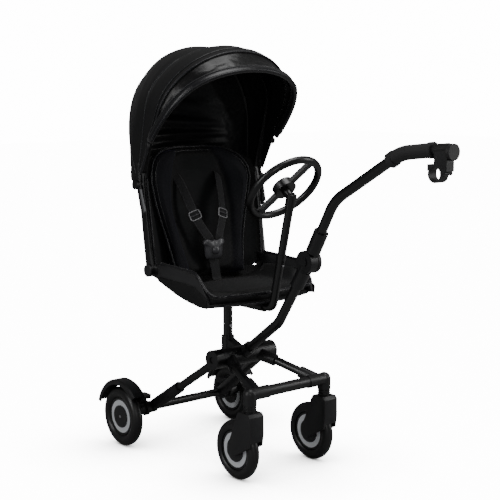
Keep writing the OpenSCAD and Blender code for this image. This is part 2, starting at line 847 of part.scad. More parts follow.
module visor() {
    color(satin) at_hood() rotate([visor_a, 0, 0]) translate([0, 0, visor_s])
        rotate([-visor_a, 0, 0]) union() {
            hood_panel(visor_half, visor_r, hood_t, 28, 38, 6);
            hood_panel(visor_half + strip_side, visor_r + 7, 12, 37.5, 45, 5);
            hood_panel(visor_half + 2 * strip_side, visor_r + 14, 10, 44.5, 53, 4);
            both_sides() x_rod(20, visor_half - hood_t, visor_half);
            both_sides() x_rod(visor_pin_d, front_half - hood_t, visor_half - 1);
        }
}

// ---- Arm ----

module arm_lower_tube() {
    u = dir([0, 0], arm_bend);
    v = dir(arm_bend, knuckle);
    color(black) at_hub() side_plane() bent_bar([u * 20, arm_bend, knuckle - v * 34], arm_d, 60);
}

module knuckle_lower() {
    v = dir(arm_bend, knuckle);
    half = knuckle_w / 2;
    slot = tongue_w / 2 + gap;
    color(satin) at_hub() translate([0, knuckle[0], knuckle[1]]) difference() {
        union() {
            x_rod(knuckle_d, -half, half);
            rod([0, -76 * v[0], -76 * v[1]], [0, 0, 0], arm_d + 10);
        }
        difference() {
            x_rod(knuckle_d + 6, -slot, slot);
            x_rod(pin_d, -slot, slot);
        }
        rod([0, -90 * v[0], -90 * v[1]], [0, -34 * v[0], -34 * v[1]], arm_d);
        x_rod(22 + 4 * fit, -half - 1, -half + 6);
    }
}

module knuckle_button() {
    half = knuckle_w / 2;
    color(black) at_hub() translate([0, knuckle[0], knuckle[1]])
        x_rod(22, -half - 3, -half + 3);
}

module knuckle_upper() {
    w = dir(knuckle, arm_knee);
    root = knuckle_d / 2 + 1.5;
    color(satin) at_hub() translate([0, knuckle[0], knuckle[1]]) difference() {
        union() {
            x_rod(knuckle_d - 2, -tongue_w / 2, tongue_w / 2);
            side_plane() rotate([0, 0, angle_of(w)]) translate([0, 0, -tongue_w / 2])
                linear_extrude(tongue_w) translate([4, -15]) square([root + 4, 30]);
            rod([0, root * w[0], root * w[1]], [0, 88 * w[0], 88 * w[1]], arm_d + 11);
        }
        x_rod(pin_d + 2 * fit, -knuckle_w, knuckle_w);
        rod([0, 44 * w[0], 44 * w[1]], [0, 100 * w[0], 100 * w[1]], arm_d);
    }
}

module arm_upper_tube() {
    w = dir(knuckle, arm_knee);
    color(black) at_hub() side_plane()
        bent_bar([knuckle + w * 44, arm_knee, arm_crest, arm_tip], arm_d, 110);
}

module grip() {
    u = dir(arm_knee, arm_crest);
    v = dir(arm_crest, arm_tip);
    start = arm_crest - u * 36;
    color(grey) at_hub() side_plane() difference() {
        union() {
            bent_bar([start, arm_crest, arm_tip], grip_d - 3, 110);
            translate([start[0], start[1], 0]) rotate([0, 90, angle_of(u)])
                cylinder(d = grip_d + 1, h = 14);
            translate([arm_tip[0], arm_tip[1], 0]) rotate([0, -90, angle_of(v)])
                cylinder(d = grip_d, h = 12);
        }
        bent_bar([start - u, arm_crest, arm_tip + v], arm_d, 110);
    }
}

module at_clamp() {
    at_hub() translate([0, clamp_y, clamp_z]) children();
}

module clamp_body() {
    back = block_back_y - clamp_y;
    front = block_front_y - clamp_y;
    lip = host_r + clamp_band + 2;
    tip = arm_tip - [clamp_y, clamp_z];
    inside = tip + dir(arm_crest, arm_tip) * 40;
    color(satin) at_clamp() union() {
        difference() {
            union() {
                translate([-clamp_w / 2, front, saddle_z])
                    cube([clamp_w, back - front, clamp_block_h]);
                translate([-clamp_w / 2, front, saddle_z]) cube([clamp_w, lip - front, 14]);
                rod([0, tip[0], tip[1]], [0, inside[0], inside[1]], arm_d);
                translate([0, jaw_y, jaw_z]) x_rod(11, -clamp_w / 2, clamp_w / 2);
            }
            x_rod(2 * host_r, -clamp_w, clamp_w);
            translate([0, jaw_y, jaw_z]) x_rod(13, -jaw_lug / 2 - gap, jaw_lug / 2 + gap);
            translate([0, front - 1, clamp_block_h - 10]) rotate([-90, 0, 0])
                cylinder(d = 8 + 2 * fit, h = 20);
        }
        translate([0, jaw_y, jaw_z]) x_rod(4, -jaw_lug / 2 - 1, jaw_lug / 2 + 1);
    }
}

module clamp_jaw() {
    color(grey) at_clamp() difference() {
        union() {
            x_rod(2 * (host_r + clamp_band), -clamp_w / 2, clamp_w / 2);
            translate([0, jaw_y, jaw_z]) x_rod(10, -jaw_lug / 2, jaw_lug / 2);
            translate([-jaw_lug / 2, jaw_y, -4]) cube([jaw_lug, 9, 6]);
        }
        x_rod(2 * host_r, -clamp_w, clamp_w);
        translate([0, jaw_y, jaw_z]) x_rod(4 + 2 * fit, -clamp_w, clamp_w);
        translate([-clamp_w, jaw_y + 5.5, saddle_z - gap]) cube([2 * clamp_w, 60, 60]);
        translate([0, jaw_y, jaw_z]) x_rod(11 + 2 * gap, jaw_lug / 2, clamp_w);
        translate([0, jaw_y, jaw_z]) x_rod(11 + 2 * gap, -clamp_w, -jaw_lug / 2);
    }
}

module clamp_knob() {
    front = block_front_y - clamp_y;
    color(grey) at_clamp() translate([0, front - gap, clamp_block_h - 10])
        rotate([90, 0, 0]) union() {
        cylinder(d = 36, h = knob_t);
        translate([0, 0, -16]) cylinder(d = 8, h = 17);
    }
}

hub_housing();
hub_caps();
front_leg(1);  // front_leg_left
front_leg(-1);  // front_leg_right
front_corner(1);  // front_corner_left
front_corner(-1);  // front_corner_right
front_crossbar();
arm_lower_tube();
knuckle_lower();
seat_post_outer();
seat_post_screw();
rear_leg(1);  // rear_leg_left
rear_leg(-1);  // rear_leg_right
rear_bracket(1);  // rear_bracket_left
rear_bracket(-1);  // rear_bracket_right
rear_axle_bar();
rear_axle_pins();
fender(1);  // fender_left
fender(-1);  // fender_right
rear_tyre(1);  // rear_tyre_left
rear_tyre(-1);  // rear_tyre_right
rear_rim(1);  // rear_rim_left
rear_rim(-1);  // rear_rim_right
brake_pedal(1);  // brake_pedal_left
brake_pedal(-1);  // brake_pedal_right
caster_fork(1);  // caster_fork_left
caster_fork(-1);  // caster_fork_right
front_tyre(1);  // front_tyre_left
front_tyre(-1);  // front_tyre_right
front_rim(1);  // front_rim_left
front_rim(-1);  // front_rim_right
seat_post_inner();
seat_mount();
seat_pan();
seat_sides();
seat_cushion();
crotch_strap();
buckle_body();
buckle_button();
column_lower();
column_upper();
column_button();
steering_wheel();
horn_button();
backrest_frame();
backrest_shell();
seat_liner();
shoulder_straps();
hood_hinges();
hood_rear();
hood_mid();
hood_front();
visor();
knuckle_upper();
arm_upper_tube();
grip();
clamp_body();
clamp_jaw();
clamp_knob();
knuckle_button();
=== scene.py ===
import json
import math

import bmesh
import bpy
import numpy as np
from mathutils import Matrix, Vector, noise

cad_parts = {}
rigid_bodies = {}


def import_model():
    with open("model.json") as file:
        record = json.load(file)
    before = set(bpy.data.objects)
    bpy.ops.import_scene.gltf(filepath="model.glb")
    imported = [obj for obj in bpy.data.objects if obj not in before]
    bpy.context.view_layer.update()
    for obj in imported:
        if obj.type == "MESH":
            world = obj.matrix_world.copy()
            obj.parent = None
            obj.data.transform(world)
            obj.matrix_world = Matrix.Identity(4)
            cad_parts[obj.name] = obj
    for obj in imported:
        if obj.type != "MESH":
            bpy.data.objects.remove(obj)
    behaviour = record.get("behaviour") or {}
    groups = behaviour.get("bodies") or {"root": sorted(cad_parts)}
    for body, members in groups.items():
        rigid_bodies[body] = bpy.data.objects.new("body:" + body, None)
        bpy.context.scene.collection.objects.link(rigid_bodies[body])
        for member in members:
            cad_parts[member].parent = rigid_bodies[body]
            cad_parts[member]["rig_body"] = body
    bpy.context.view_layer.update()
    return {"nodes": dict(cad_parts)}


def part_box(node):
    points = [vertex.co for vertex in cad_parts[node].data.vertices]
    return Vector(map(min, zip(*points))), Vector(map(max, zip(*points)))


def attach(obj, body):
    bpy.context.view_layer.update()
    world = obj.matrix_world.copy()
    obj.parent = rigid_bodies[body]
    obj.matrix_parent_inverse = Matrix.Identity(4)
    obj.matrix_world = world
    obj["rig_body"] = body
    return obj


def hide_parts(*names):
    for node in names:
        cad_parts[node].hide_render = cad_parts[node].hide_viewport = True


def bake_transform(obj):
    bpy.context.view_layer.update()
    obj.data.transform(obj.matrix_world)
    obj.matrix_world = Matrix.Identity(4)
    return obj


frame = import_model()

# ---- Camera and studio ----
# A plain pale sweep with four large soft boxes. The camera stands to the front and the
# child's right, a little above the seat.

camera_data = bpy.data.cameras.new("camera")
camera_data.lens = 83.8
camera = bpy.data.objects.new("camera", camera_data)
camera.location = (-1.8775, -2.1232, 0.9806)
camera.rotation_euler = (math.radians(90 - 8.36), 0, math.radians(-39.81))
bpy.context.scene.collection.objects.link(camera)
bpy.context.scene.camera = camera


def linear(colour):
    """The linear RGBA of an sRGB hex colour."""
    parts = [int(colour[i:i + 2], 16) / 255 for i in (1, 3, 5)]
    return [p / 12.92 if p <= 0.04045 else ((p + 0.055) / 1.055) ** 2.4 for p in parts] + [1.0]


def add(tree, kind, inputs=None, **settings):
    """One node, with its settings, and its inputs set or linked."""
    node = tree.nodes.new(kind)
    for name, value in settings.items():
        setattr(node, name, value)
    for name, value in (inputs or {}).items():
        if isinstance(value, bpy.types.NodeSocket):
            tree.links.new(value, node.inputs[name])
        else:
            node.inputs[name].default_value = value
    return node


def new_material(name):
    """An empty material: itself, its node tree and its Principled shader."""
    material = bpy.data.materials.new(name)
    material.use_nodes = True
    return material, material.node_tree, material.node_tree.nodes["Principled BSDF"]


def soft_box(name, place, target, size, watts):
    """A rectangular studio lamp at a place, facing a target."""
    light = bpy.data.lights.new(name, "AREA")
    light.shape = "RECTANGLE"
    light.size, light.size_y = size
    light.energy = watts
    lamp = bpy.data.objects.new(name, light)
    lamp.location = place
    lamp.rotation_euler = (Vector(target) - Vector(place)).to_track_quat("-Z", "Y").to_euler()
    bpy.context.scene.collection.objects.link(lamp)


soft_box("box_above", (0.3, -0.6, 3.4), (0, 0, 0.5), (1.8, 1.8), 60)
soft_box("box_left", (-3.2, 0.4, 1.7), (0, 0, 0.6), (0.6, 2.4), 40)
soft_box("box_right", (2.6, -1.9, 1.6), (0, 0, 0.6), (0.5, 2.4), 32)
soft_box("box_front", (-2.0, -2.9, 1.5), (0, 0.1, 0.7), (1.2, 1.2), 16)
world = bpy.data.worlds.new("studio_air")
world.use_nodes = True
world_tree = world.node_tree
world_tree.nodes["Background"].inputs["Color"].default_value = linear("#ffffff")
# The backdrop is lit much more than the part is, as in a high-key studio.
seen = add(world_tree, "ShaderNodeLightPath")
backdrop = add(world_tree, "ShaderNodeMapRange", {"Value": seen.outputs["Is Camera Ray"],
                                                  "To Min": 0.14, "To Max": 15.0})
world_tree.links.new(backdrop.outputs["Result"],
                     world_tree.nodes["Background"].inputs["Strength"])
bpy.context.scene.world = world

floor_paper, floor_tree, floor_shader = new_material("matt_paper_sweep")
# Seamless paper: evenly matt, with a faint mottle in its gloss.
floor_shader.inputs["Base Color"].default_value = linear("#9a9a9a")
floor_coords = add(floor_tree, "ShaderNodeTexCoord")
floor_mottle = add(floor_tree, "ShaderNodeTexNoise",
                   {"Vector": floor_coords.outputs["Object"], "Scale": 6.0})
floor_gloss = add(floor_tree, "ShaderNodeMapRange",
                  {"Value": floor_mottle.outputs["Fac"], "To Min": 0.82, "To Max": 0.92})
floor_tree.links.new(floor_gloss.outputs["Result"], floor_shader.inputs["Roughness"])
# To the camera the paper glows white, and ambient occlusion dims that glow near the part: a painted
# contact shadow under the wheels.
floor_shader.inputs["Emission Color"].default_value = linear("#ffffff")
floor_seen = add(floor_tree, "ShaderNodeLightPath")
floor_shade = add(floor_tree, "ShaderNodeAmbientOcclusion", {"Distance": 0.3}, samples=8)
floor_painted_shadow = add(floor_tree, "ShaderNodeMath", {0: floor_shade.outputs["AO"], 1: 2.5},
                 operation="POWER")
floor_painted_shadow_seen = add(floor_tree, "ShaderNodeMath", {0: floor_painted_shadow.outputs[0],
                                               1: floor_seen.outputs["Is Camera Ray"]},
                operation="MULTIPLY")
floor_glow_with_painted_shadow = add(floor_tree, "ShaderNodeMapRange", {"Value": floor_painted_shadow_seen.outputs[0],
                                                    "To Min": 0.0, "To Max": 14.0})
floor_tree.links.new(floor_glow_with_painted_shadow.outputs["Result"], floor_shader.inputs["Emission Strength"])
floor_mesh = bpy.data.meshes.new("floor")
FLOOR_HALF = 14
floor_mesh.from_pydata([(x * FLOOR_HALF, y * FLOOR_HALF, 0)
                        for x, y in ((-1, -1), (1, -1), (1, 1), (-1, 1))], [], [(0, 1, 2, 3)])
floor_mesh.materials.append(floor_paper)
floor = bpy.data.objects.new("floor", floor_mesh)
bpy.context.scene.collection.objects.link(floor)

# ---- Frame tubes ----
# Round steel tubes for the legs, crossbar, axle bar, seat post, column and arm. They are
# bent, sprayed with powder and baked, which leaves a satin black skin with a fine pebble.


def grained(name, dark, light, roughness, grain_mm, depth_mm, spread=0.06, coat=0.0, metal=0.0):
    """A hard finish with a fine grain, patches of gloss and a slight drift of colour."""
    material, tree, shader = new_material(name)
    coords = add(tree, "ShaderNodeTexCoord")
    grain = add(tree, "ShaderNodeTexNoise", {"Vector": coords.outputs["Object"],
                                             "Scale": 1000 / grain_mm, "Detail": 3.0})
    patches = add(tree, "ShaderNodeTexNoise", {"Vector": coords.outputs["Object"],
                                               "Scale": 14.0, "Detail": 4.0})
    colour = add(tree, "ShaderNodeMix", {"Factor": patches.outputs["Fac"]}, data_type="RGBA")
    colour.inputs[6].default_value = linear(dark)
    colour.inputs[7].default_value = linear(light)
    gloss = add(tree, "ShaderNodeMapRange", {"Value": patches.outputs["Fac"],
                                             "From Min": 0.3, "From Max": 0.7,
                                             "To Min": roughness - spread,
                                             "To Max": roughness + spread})
    pebble = add(tree, "ShaderNodeBump", {"Height": grain.outputs["Fac"], "Strength": 0.35,
                                          "Distance": depth_mm / 1000})
    tree.links.new(colour.outputs[2], shader.inputs["Base Color"])
    tree.links.new(gloss.outputs["Result"], shader.inputs["Roughness"])
    tree.links.new(pebble.outputs["Normal"], shader.inputs["Normal"])
    shader.inputs["Coat Weight"].default_value = coat
    shader.inputs["Coat Roughness"].default_value = 0.3
    shader.inputs["Metallic"].default_value = metal
    return material


def dress(material, *names):
    """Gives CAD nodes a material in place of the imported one."""
    for node_name in names:
        for material_slot in frame["nodes"][node_name].material_slots:
            material_slot.material = material


# Baked powder: a satin skin over steel, with a pebble of about a millimetre.
powder_coat = grained("satin_black_powder_coat", "#050506", "#09090a", 0.34, 1.6, 0.12, coat=0.1)
dress(powder_coat, "front_leg_left", "front_leg_right", "front_crossbar", "arm_lower_tube",
      "seat_post_outer", "seat_post_inner", "rear_leg_left", "rear_leg_right", "rear_axle_bar",
      "column_lower", "column_upper", "arm_upper_tube", "backrest_frame")
# Bright zinc-plated steel of the screw, pins and spring button.
bright_steel = grained("zinc_plated_steel", "#a5a5a8", "#c2c2c4", 0.3, 0.8, 0.05, metal=1.0)
dress(bright_steel, "seat_post_screw", "rear_axle_pins", "column_button")

# ---- Moulded frame parts ----
# Glass-filled nylon mouldings: the hub, corner castings, brackets, pedals, forks, knuckle
# and clamp. Steel moulds leave them with softly rounded edges and a fine spark grain.

# Moulded nylon: satin with a slight blue cast and a spark grain under a millimetre.
nylon = grained("moulded_black_nylon", "#060608", "#0c0c0f", 0.4, 1.1, 0.16)


def settle(obj):
    """Bakes an object's modifiers into its mesh."""
    depsgraph = bpy.context.evaluated_depsgraph_get()
    mesh = bpy.data.meshes.new_from_object(obj.evaluated_get(depsgraph),
                                           preserve_all_data_layers=True, depsgraph=depsgraph)
    obj.modifiers.clear()
    obj.data = mesh
    return obj


def shade_smooth(mesh):
    mesh.polygons.foreach_set("use_smooth", [True] * len(mesh.polygons))


def new_object(name, mesh, material):
    """A piece in the scene, in one material and smooth."""
    mesh.materials.clear()
    mesh.materials.append(material)
    shade_smooth(mesh)
    obj = bpy.data.objects.new(name, mesh)
    bpy.context.scene.collection.objects.link(obj)
    return obj


def rounded_moulding(node_name, material, edge):
    """A copy of a CAD moulding with its sharp edges rounded, in place of the node."""
    shape = bmesh.new()
    shape.from_mesh(frame["nodes"][node_name].data)
    bmesh.ops.remove_doubles(shape, verts=shape.verts, dist=2e-5)
    bmesh.ops.dissolve_limit(shape, angle_limit=math.radians(0.5), verts=shape.verts,
                             edges=shape.edges)
    mesh = bpy.data.meshes.new(node_name + "_moulding")
    shape.to_mesh(mesh)
    shape.free()
    obj = new_object(node_name + "_moulding", mesh, material)
    bevel = obj.modifiers.new("edge", "BEVEL")
    bevel.width = edge
    bevel.segments = 3
    bevel.limit_method = "ANGLE"
    bevel.angle_limit = math.radians(34)
    bevel.use_clamp_overlap = True
    settle(obj)
    shade_smooth(obj.data)
    obj.data.set_sharp_from_angle(angle=math.radians(40))
    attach(obj, frame["nodes"][node_name]["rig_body"])
    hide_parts(node_name)
    return obj


dress(nylon, "hub_housing", "hub_caps", "front_corner_left", "front_corner_right",
      "knuckle_lower", "knuckle_upper", "knuckle_button", "rear_bracket_left",
      "rear_bracket_right", "fender_left", "fender_right", "seat_mount", "hood_hinges",
      "clamp_body")
for side in ("left", "right"):
    rounded_moulding("caster_fork_" + side, nylon, 0.0022)
    rounded_moulding("brake_pedal_" + side, nylon, 0.002)

# ---- Wheels ----
# Smooth foamed tyres on moulded rims, with a little dust on their satin skin. A pale web
# joins each hub to its rim, and each rear hub is capped by a domed black disc.

# Foamed rubber: a soft satin highlight and a slight bloom of dust.
tyre_rubber = grained("foamed_tyre_rubber", "#070708", "#0e0e0f", 0.38, 2.2, 0.1, spread=0.09)
dress(tyre_rubber, "rear_tyre_left", "rear_tyre_right", "front_tyre_left", "front_tyre_right")
# Rim nylon: the same moulding, greyer and more matt.
rim_nylon = grained("moulded_dark_grey_nylon", "#0c0c0e", "#141416", 0.46, 1.4, 0.16)
dress(rim_nylon, "rear_rim_left", "rear_rim_right", "front_rim_left", "front_rim_right")
# The web between hub and rim is a pale grey nylon with a satin face.
web_nylon = grained("pale_grey_wheel_web", "#c0c3c7", "#d0d3d6", 0.45, 1.2, 0.08)


def face_outwards(mesh):
    """Merges a mesh's doubles and turns its faces outwards."""
    shape = bmesh.new()
    shape.from_mesh(mesh)
    bmesh.ops.remove_doubles(shape, verts=shape.verts, dist=1e-6)
    bmesh.ops.recalc_face_normals(shape, faces=shape.faces)
    shape.to_mesh(mesh)
    shape.free()
    return mesh


def grid_mesh(name, rows, closed_across=False, caps=False):
    """A mesh over rows of points, with a UV map in metres along and across."""
    count, width = len(rows), len(rows[0])
    points = [Vector(p) for row in rows for p in row]
    faces, uvs = [], []
    along = np.zeros((count, width))
    across = np.zeros((count, width + 1))
    for i in range(count):
        for j in range(width):
            if i:
                along[i, j] = along[i - 1, j] + (points[i * width + j]
                                                 - points[(i - 1) * width + j]).length
            nxt = i * width + (j + 1) % width
            across[i, j + 1] = across[i, j] + (points[nxt] - points[i * width + j]).length
    for i in range(count - 1):
        for j in range(width if closed_across else width - 1):
            k = (j + 1) % width
            faces.append((i * width + j, (i + 1) * width + j, (i + 1) * width + k, i * width + k))
            uvs += [(across[i, j], along[i, j]), (across[i + 1, j], along[i + 1, j]),
                    (across[i + 1, j + 1], along[i + 1, k]), (across[i, j + 1], along[i, k])]
    if caps:
        for ring in (range(width), range((count - 1) * width, count * width)):
            ring = list(ring)
            faces.append(tuple(ring) if ring[0] == 0 else tuple(reversed(ring)))
            uvs += [(0.0, 0.0)] * width
    mesh = bpy.data.meshes.new(name)
    mesh.from_pydata([tuple(p) for p in points], [], faces)
    layer = mesh.uv_layers.new(name="UVMap")
    layer.data.foreach_set("uv", np.array(uvs, np.float32).ravel())
    return face_outwards(mesh)


def turn(count):
    """Even angles round a full turn."""
    return np.linspace(0, math.tau, count, endpoint=False)


def middle(node_name):
    """The middle of a CAD node's box."""
    low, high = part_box(node_name)
    return (low + high) / 2


# Radius and height, in metres, along the disc's face and the web's half section.
disc_profile = [(0.0, 0.0035), (0.006, 0.0035), (0.008, 0.0048), (0.0105, 0.0048),
                (0.0125, 0.003), (0.021, 0.0026), (0.0235, 0.0024), (0.0255, 0.0012),
                (0.026, 0.0)]
web_profile = [(0.0105, 0.0078), (0.018, 0.0082), (0.030, 0.0076), (0.040, 0.0078),
               (0.0445, 0.0084)]
DISC_WALL = 0.001
for side, way in (("left", 1), ("right", -1)):
    axle = middle("rear_tyre_" + side)
    face_x = (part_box("rear_rim_" + side)[1].x - axle.x) * way
    closed_profile = disc_profile + [(disc_profile[-1][0], -DISC_WALL), (0.0, -DISC_WALL)]
    rows = [[(axle.x + way * (face_x + rise), axle.y + max(r, 1e-5) * math.cos(a),
              axle.z + max(r, 1e-5) * math.sin(a)) for a in turn(64)]
            for r, rise in closed_profile]
    disc = new_object("rear_hub_disc_" + side,
                      grid_mesh("rear_hub_disc", rows, closed_across=True, caps=True), nylon)
    disc.data.set_sharp_from_angle(angle=math.radians(35))
    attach(disc, "rear_wheel_" + side)
    for end in ("rear", "front"):
        axle = middle(end + "_tyre_" + side)
        section = web_profile + [(r, -x) for r, x in reversed(web_profile)]
        rows = [[(axle.x + x, axle.y + r * math.cos(a), axle.z + r * math.sin(a))
                 for r, x in section] for a in np.linspace(0, math.tau, 73)]
        web = new_object(end + "_wheel_web_" + side,
                         grid_mesh("wheel_web", rows, closed_across=True), web_nylon)
        web.data.set_sharp_from_angle(angle=math.radians(35))
        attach(web, end + "_wheel_" + side)

# ---- Seat side panels ----
# Matt dark-grey mouldings that close the seat at each side and carry the backrest pivots.
# Each is one piece with its pin, and is fixed to the pan.

# Side panel nylon: dry and matt, clearly greyer than the black parts.
panel_nylon = grained("matt_grey_side_panel", "#101012", "#18181a", 0.5, 1.3, 0.2)
side_panels = rounded_moulding("seat_sides", panel_nylon, 0.002)
# Where the panel's lower edge runs: behind the hub, and above the ground.
PANEL_Y = [-84, -50, 10, 60, 120]
PANEL_LOW = [426, 426, 436, 449, 470]

# ---- Seat pad ----
# A padded cloth tub: flat where the child sits, rising at each side along the panels, with
# a piped edge that runs down both sides and round the front lip.

hub = middle("hub_caps")
HUB_Y = hub.y * 1000
SEAT_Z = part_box("seat_pan")[0].z * 1000


def at(x, y, z):
    """A point in millimetres: y is measured from the hub and z from the ground."""
    return Vector((x, y + HUB_Y, z)) / 1000


def cloth(name, dark, light, thread_mm, roughness, sheen, fuzz=0.35, depth_mm=0.25, crease=0.0):
    """Woven cloth on the piece's UV map in metres: warp and weft, fluff and soft creases."""
    material, tree, shader = new_material(name)
    coords = add(tree, "ShaderNodeTexCoord")
    scale = 0.31416 / (thread_mm / 1000)
    warp = add(tree, "ShaderNodeTexWave", {"Vector": coords.outputs["UV"], "Scale": scale,
                                           "Distortion": 0.6}, bands_direction="X")
    weft = add(tree, "ShaderNodeTexWave", {"Vector": coords.outputs["UV"], "Scale": scale,
                                           "Distortion": 0.6}, bands_direction="Y")
    weave = add(tree, "ShaderNodeMath", {0: warp.outputs["Fac"], 1: weft.outputs["Fac"]},
                operation="MULTIPLY")
    fluff = add(tree, "ShaderNodeTexNoise", {"Vector": coords.outputs["Object"], "Scale": 260.0,
                                             "Detail": 4.0})
    patches = add(tree, "ShaderNodeTexNoise", {"Vector": coords.outputs["Object"], "Scale": 11.0,
                                               "Detail": 5.0})
    blend = add(tree, "ShaderNodeMath", {0: weave.outputs[0], 1: fluff.outputs["Fac"]},
                operation="MULTIPLY")
    colour = add(tree, "ShaderNodeMix", {"Factor": blend.outputs[0]}, data_type="RGBA")
    colour.inputs[6].default_value = linear(dark)
    colour.inputs[7].default_value = linear(light)
    gloss = add(tree, "ShaderNodeMapRange", {"Value": patches.outputs["Fac"], "From Min": 0.3,
                                             "From Max": 0.7, "To Min": roughness - 0.07,
                                             "To Max": roughness + 0.07})
    creases = add(tree, "ShaderNodeBump", {"Height": patches.outputs["Fac"], "Strength": 1.0,
                                           "Distance": crease / 1000})
    fibres = add(tree, "ShaderNodeBump", {"Height": fluff.outputs["Fac"], "Strength": fuzz,
                                          "Distance": 0.0004,
                                          "Normal": creases.outputs["Normal"]})
    threads = add(tree, "ShaderNodeBump", {"Height": weave.outputs[0], "Strength": 0.5,
                                           "Distance": depth_mm / 1000,
                                           "Normal": fibres.outputs["Normal"]})
    tree.links.new(colour.outputs[2], shader.inputs["Base Color"])
    tree.links.new(gloss.outputs["Result"], shader.inputs["Roughness"])
    tree.links.new(threads.outputs["Normal"], shader.inputs["Normal"])
    shader.inputs["Sheen Weight"].default_value = sheen
    shader.inputs["Sheen Roughness"].default_value = 0.4
    shader.inputs["Specular IOR Level"].default_value = 0.3
    return material


def sweep(name, path, section, material, up=(0, 0, 1), closed=False):
    """A section of (side, up) offsets in metres carried along a path of points."""
    path = [Vector(p) for p in path]
    rows = []
    last_side = None
    for i, p in enumerate(path):
        before = path[i - 1] if i or closed else p
        after = path[(i + 1) % len(path)] if closed or i < len(path) - 1 else p
        tangent = (after - before).normalized()
        rise = Vector(up[i]) if isinstance(up, list) else Vector(up)
        side = tangent.cross(rise)
        side = side.normalized() if side.length > 1e-4 else last_side
        if last_side is not None and side.dot(last_side) < 0 and not isinstance(up, list):
            side = -side
        last_side = side
        rise = side.cross(tangent)
        rows.append([p + side * a + rise * b for a, b in section])
    if closed:
        rows.append(rows[0])
    return new_object(name, grid_mesh(name, rows, closed_across=True, caps=not closed), material)


def ring(radius, sides=10):
    """A round section for sweep."""
    return [(radius * math.cos(a), radius * math.sin(a)) for a in turn(sides)]


def thicken(sheet, wall, offset=-1.0):
    """Gives a sheet its wall: behind it, or centred on it with an offset of 0."""
    thickness = sheet.modifiers.new("thickness", "SOLIDIFY")
    thickness.thickness = wall
    thickness.offset = offset
    return settle(sheet)


def smooth_path(points, count):
    """Evenly spaced points on a smooth line through the given ones."""
    pts = [Vector(p) for p in points]
    pts = [pts[0] * 2 - pts[1]] + pts + [pts[-1] * 2 - pts[-2]]
    fine = []
    for i in range(1, len(pts) - 2):
        p0, p1, p2, p3 = pts[i - 1], pts[i], pts[i + 1], pts[i + 2]
        for t in np.linspace(0, 1, 24, endpoint=False):
            fine.append(0.5 * ((2 * p1) + (p2 - p0) * t + (2 * p0 - 5 * p1 + 4 * p2 - p3) * t * t
                               + (3 * p1 - p0 - 3 * p2 + p3) * t ** 3))
    fine.append(pts[-2])
    lengths = [0.0]
    for a, b in zip(fine, fine[1:]):
        lengths.append(lengths[-1] + (b - a).length)
    table = np.array(fine)
    return [Vector([np.interp(s, lengths, table[:, k]) for k in range(3)])
            for s in np.linspace(0, lengths[-1], count)]


def pillow_mesh(name, front, back):
    """A closed skin from two grids of points that share their border."""
    n, m = len(front), len(front[0])
    verts = [tuple(p) for row in front + back for p in row]
    off = n * m
    faces = []
    for i in range(n - 1):
        for j in range(m - 1):
            a, b, c, d = i * m + j, (i + 1) * m + j, (i + 1) * m + j + 1, i * m + j + 1
            faces.append((a, b, c, d))
            faces.append((off + d, off + c, off + b, off + a))
    for i in range(n - 1):
        for j, flip in ((0, False), (m - 1, True)):
            a, b = i * m + j, (i + 1) * m + j
            face = (a, off + a, off + b, b)
            faces.append(tuple(reversed(face)) if flip else face)
    for j in range(m - 1):
        for i, flip in ((0, True), (n - 1, False)):
            a, b = i * m + j, i * m + j + 1
            face = (a, off + a, off + b, b)
            faces.append(tuple(reversed(face)) if flip else face)
    mesh = bpy.data.meshes.new(name)
    mesh.from_pydata(verts, [], faces)
    return face_outwards(mesh)


CLOTH_FRAMES = 20


def plump(obj, voxel, pressure, cap):
    """Fills a padded piece with air: remesh, cloth simulation, a cap on the swelling."""
    remesh = obj.modifiers.new("remesh", "REMESH")
    remesh.mode = "VOXEL"
    remesh.voxel_size = voxel
    settle(obj)
    rest = np.array([v.co for v in obj.data.vertices])
    sim = obj.modifiers.new("cloth", "CLOTH")
    sim.settings.use_pressure = True
    sim.settings.uniform_pressure_force = pressure
    sim.settings.effector_weights.gravity = 0
    sim.settings.quality = 4
    sim.point_cache.frame_start = 1
    sim.point_cache.frame_end = CLOTH_FRAMES
    for step in range(1, CLOTH_FRAMES + 1):
        bpy.context.scene.frame_set(step)
    settle(obj)
    bpy.context.scene.frame_set(1)
    moved = np.array([v.co for v in obj.data.vertices])
    shift = moved - rest
    length = np.linalg.norm(shift, axis=1, keepdims=True)
    shift *= np.minimum(1, cap / np.maximum(length, 1e-9))
    obj.data.vertices.foreach_set("co", (rest + shift).astype(np.float32).ravel())
    even = obj.modifiers.new("even", "SMOOTH")
    even.iterations = 4
    subdivide = obj.modifiers.new("subdivide", "SUBSURF")
    subdivide.levels = subdivide.render_levels = 1
    settle(obj)
    shade_smooth(obj.data)
    return obj


def box_uv(obj):
    """A UV map in metres, from the two axes that each face looks along least."""
    mesh = obj.data
    layer = mesh.uv_layers.get("UVMap") or mesh.uv_layers.new(name="UVMap")
    uvs = np.zeros((len(mesh.loops), 2), np.float32)
    for polygon in mesh.polygons:
        n = polygon.normal
        axis = max(range(3), key=lambda k: abs(n[k]))
        keep = [k for k in range(3) if k != axis]
        for loop in polygon.loop_indices:
            co = mesh.vertices[mesh.loops[loop].vertex_index].co
            uvs[loop] = (co[keep[0]], co[keep[1]])
    layer.data.foreach_set("uv", uvs.ravel())


# Polyester canvas of the seat and canopy: near black, with a faint blue in the light. Its
# threads are drawn three times too coarse so that they show.
canvas = cloth("black_polyester_canvas", "#020203", "#08080b", 1.8, 0.7, 0.05, crease=0.8)
# Piping: cord in a satin bias tape, which catches the light along its crown. Its grey, lighter than
# the canvas, is partly a painted highlight for that bright line.
piping_tape = cloth("satin_piping_tape", "#17171a", "#2c2c31", 1.2, 0.3, 0.15, depth_mm=0.15)

# Coated binding: the smooth, glossy tape round the tub and the visor.
rim_tape = cloth("smooth_rim_binding", "#101013", "#202024", 1.2, 0.28, 0.15, fuzz=0.1,
                 depth_mm=0.08)

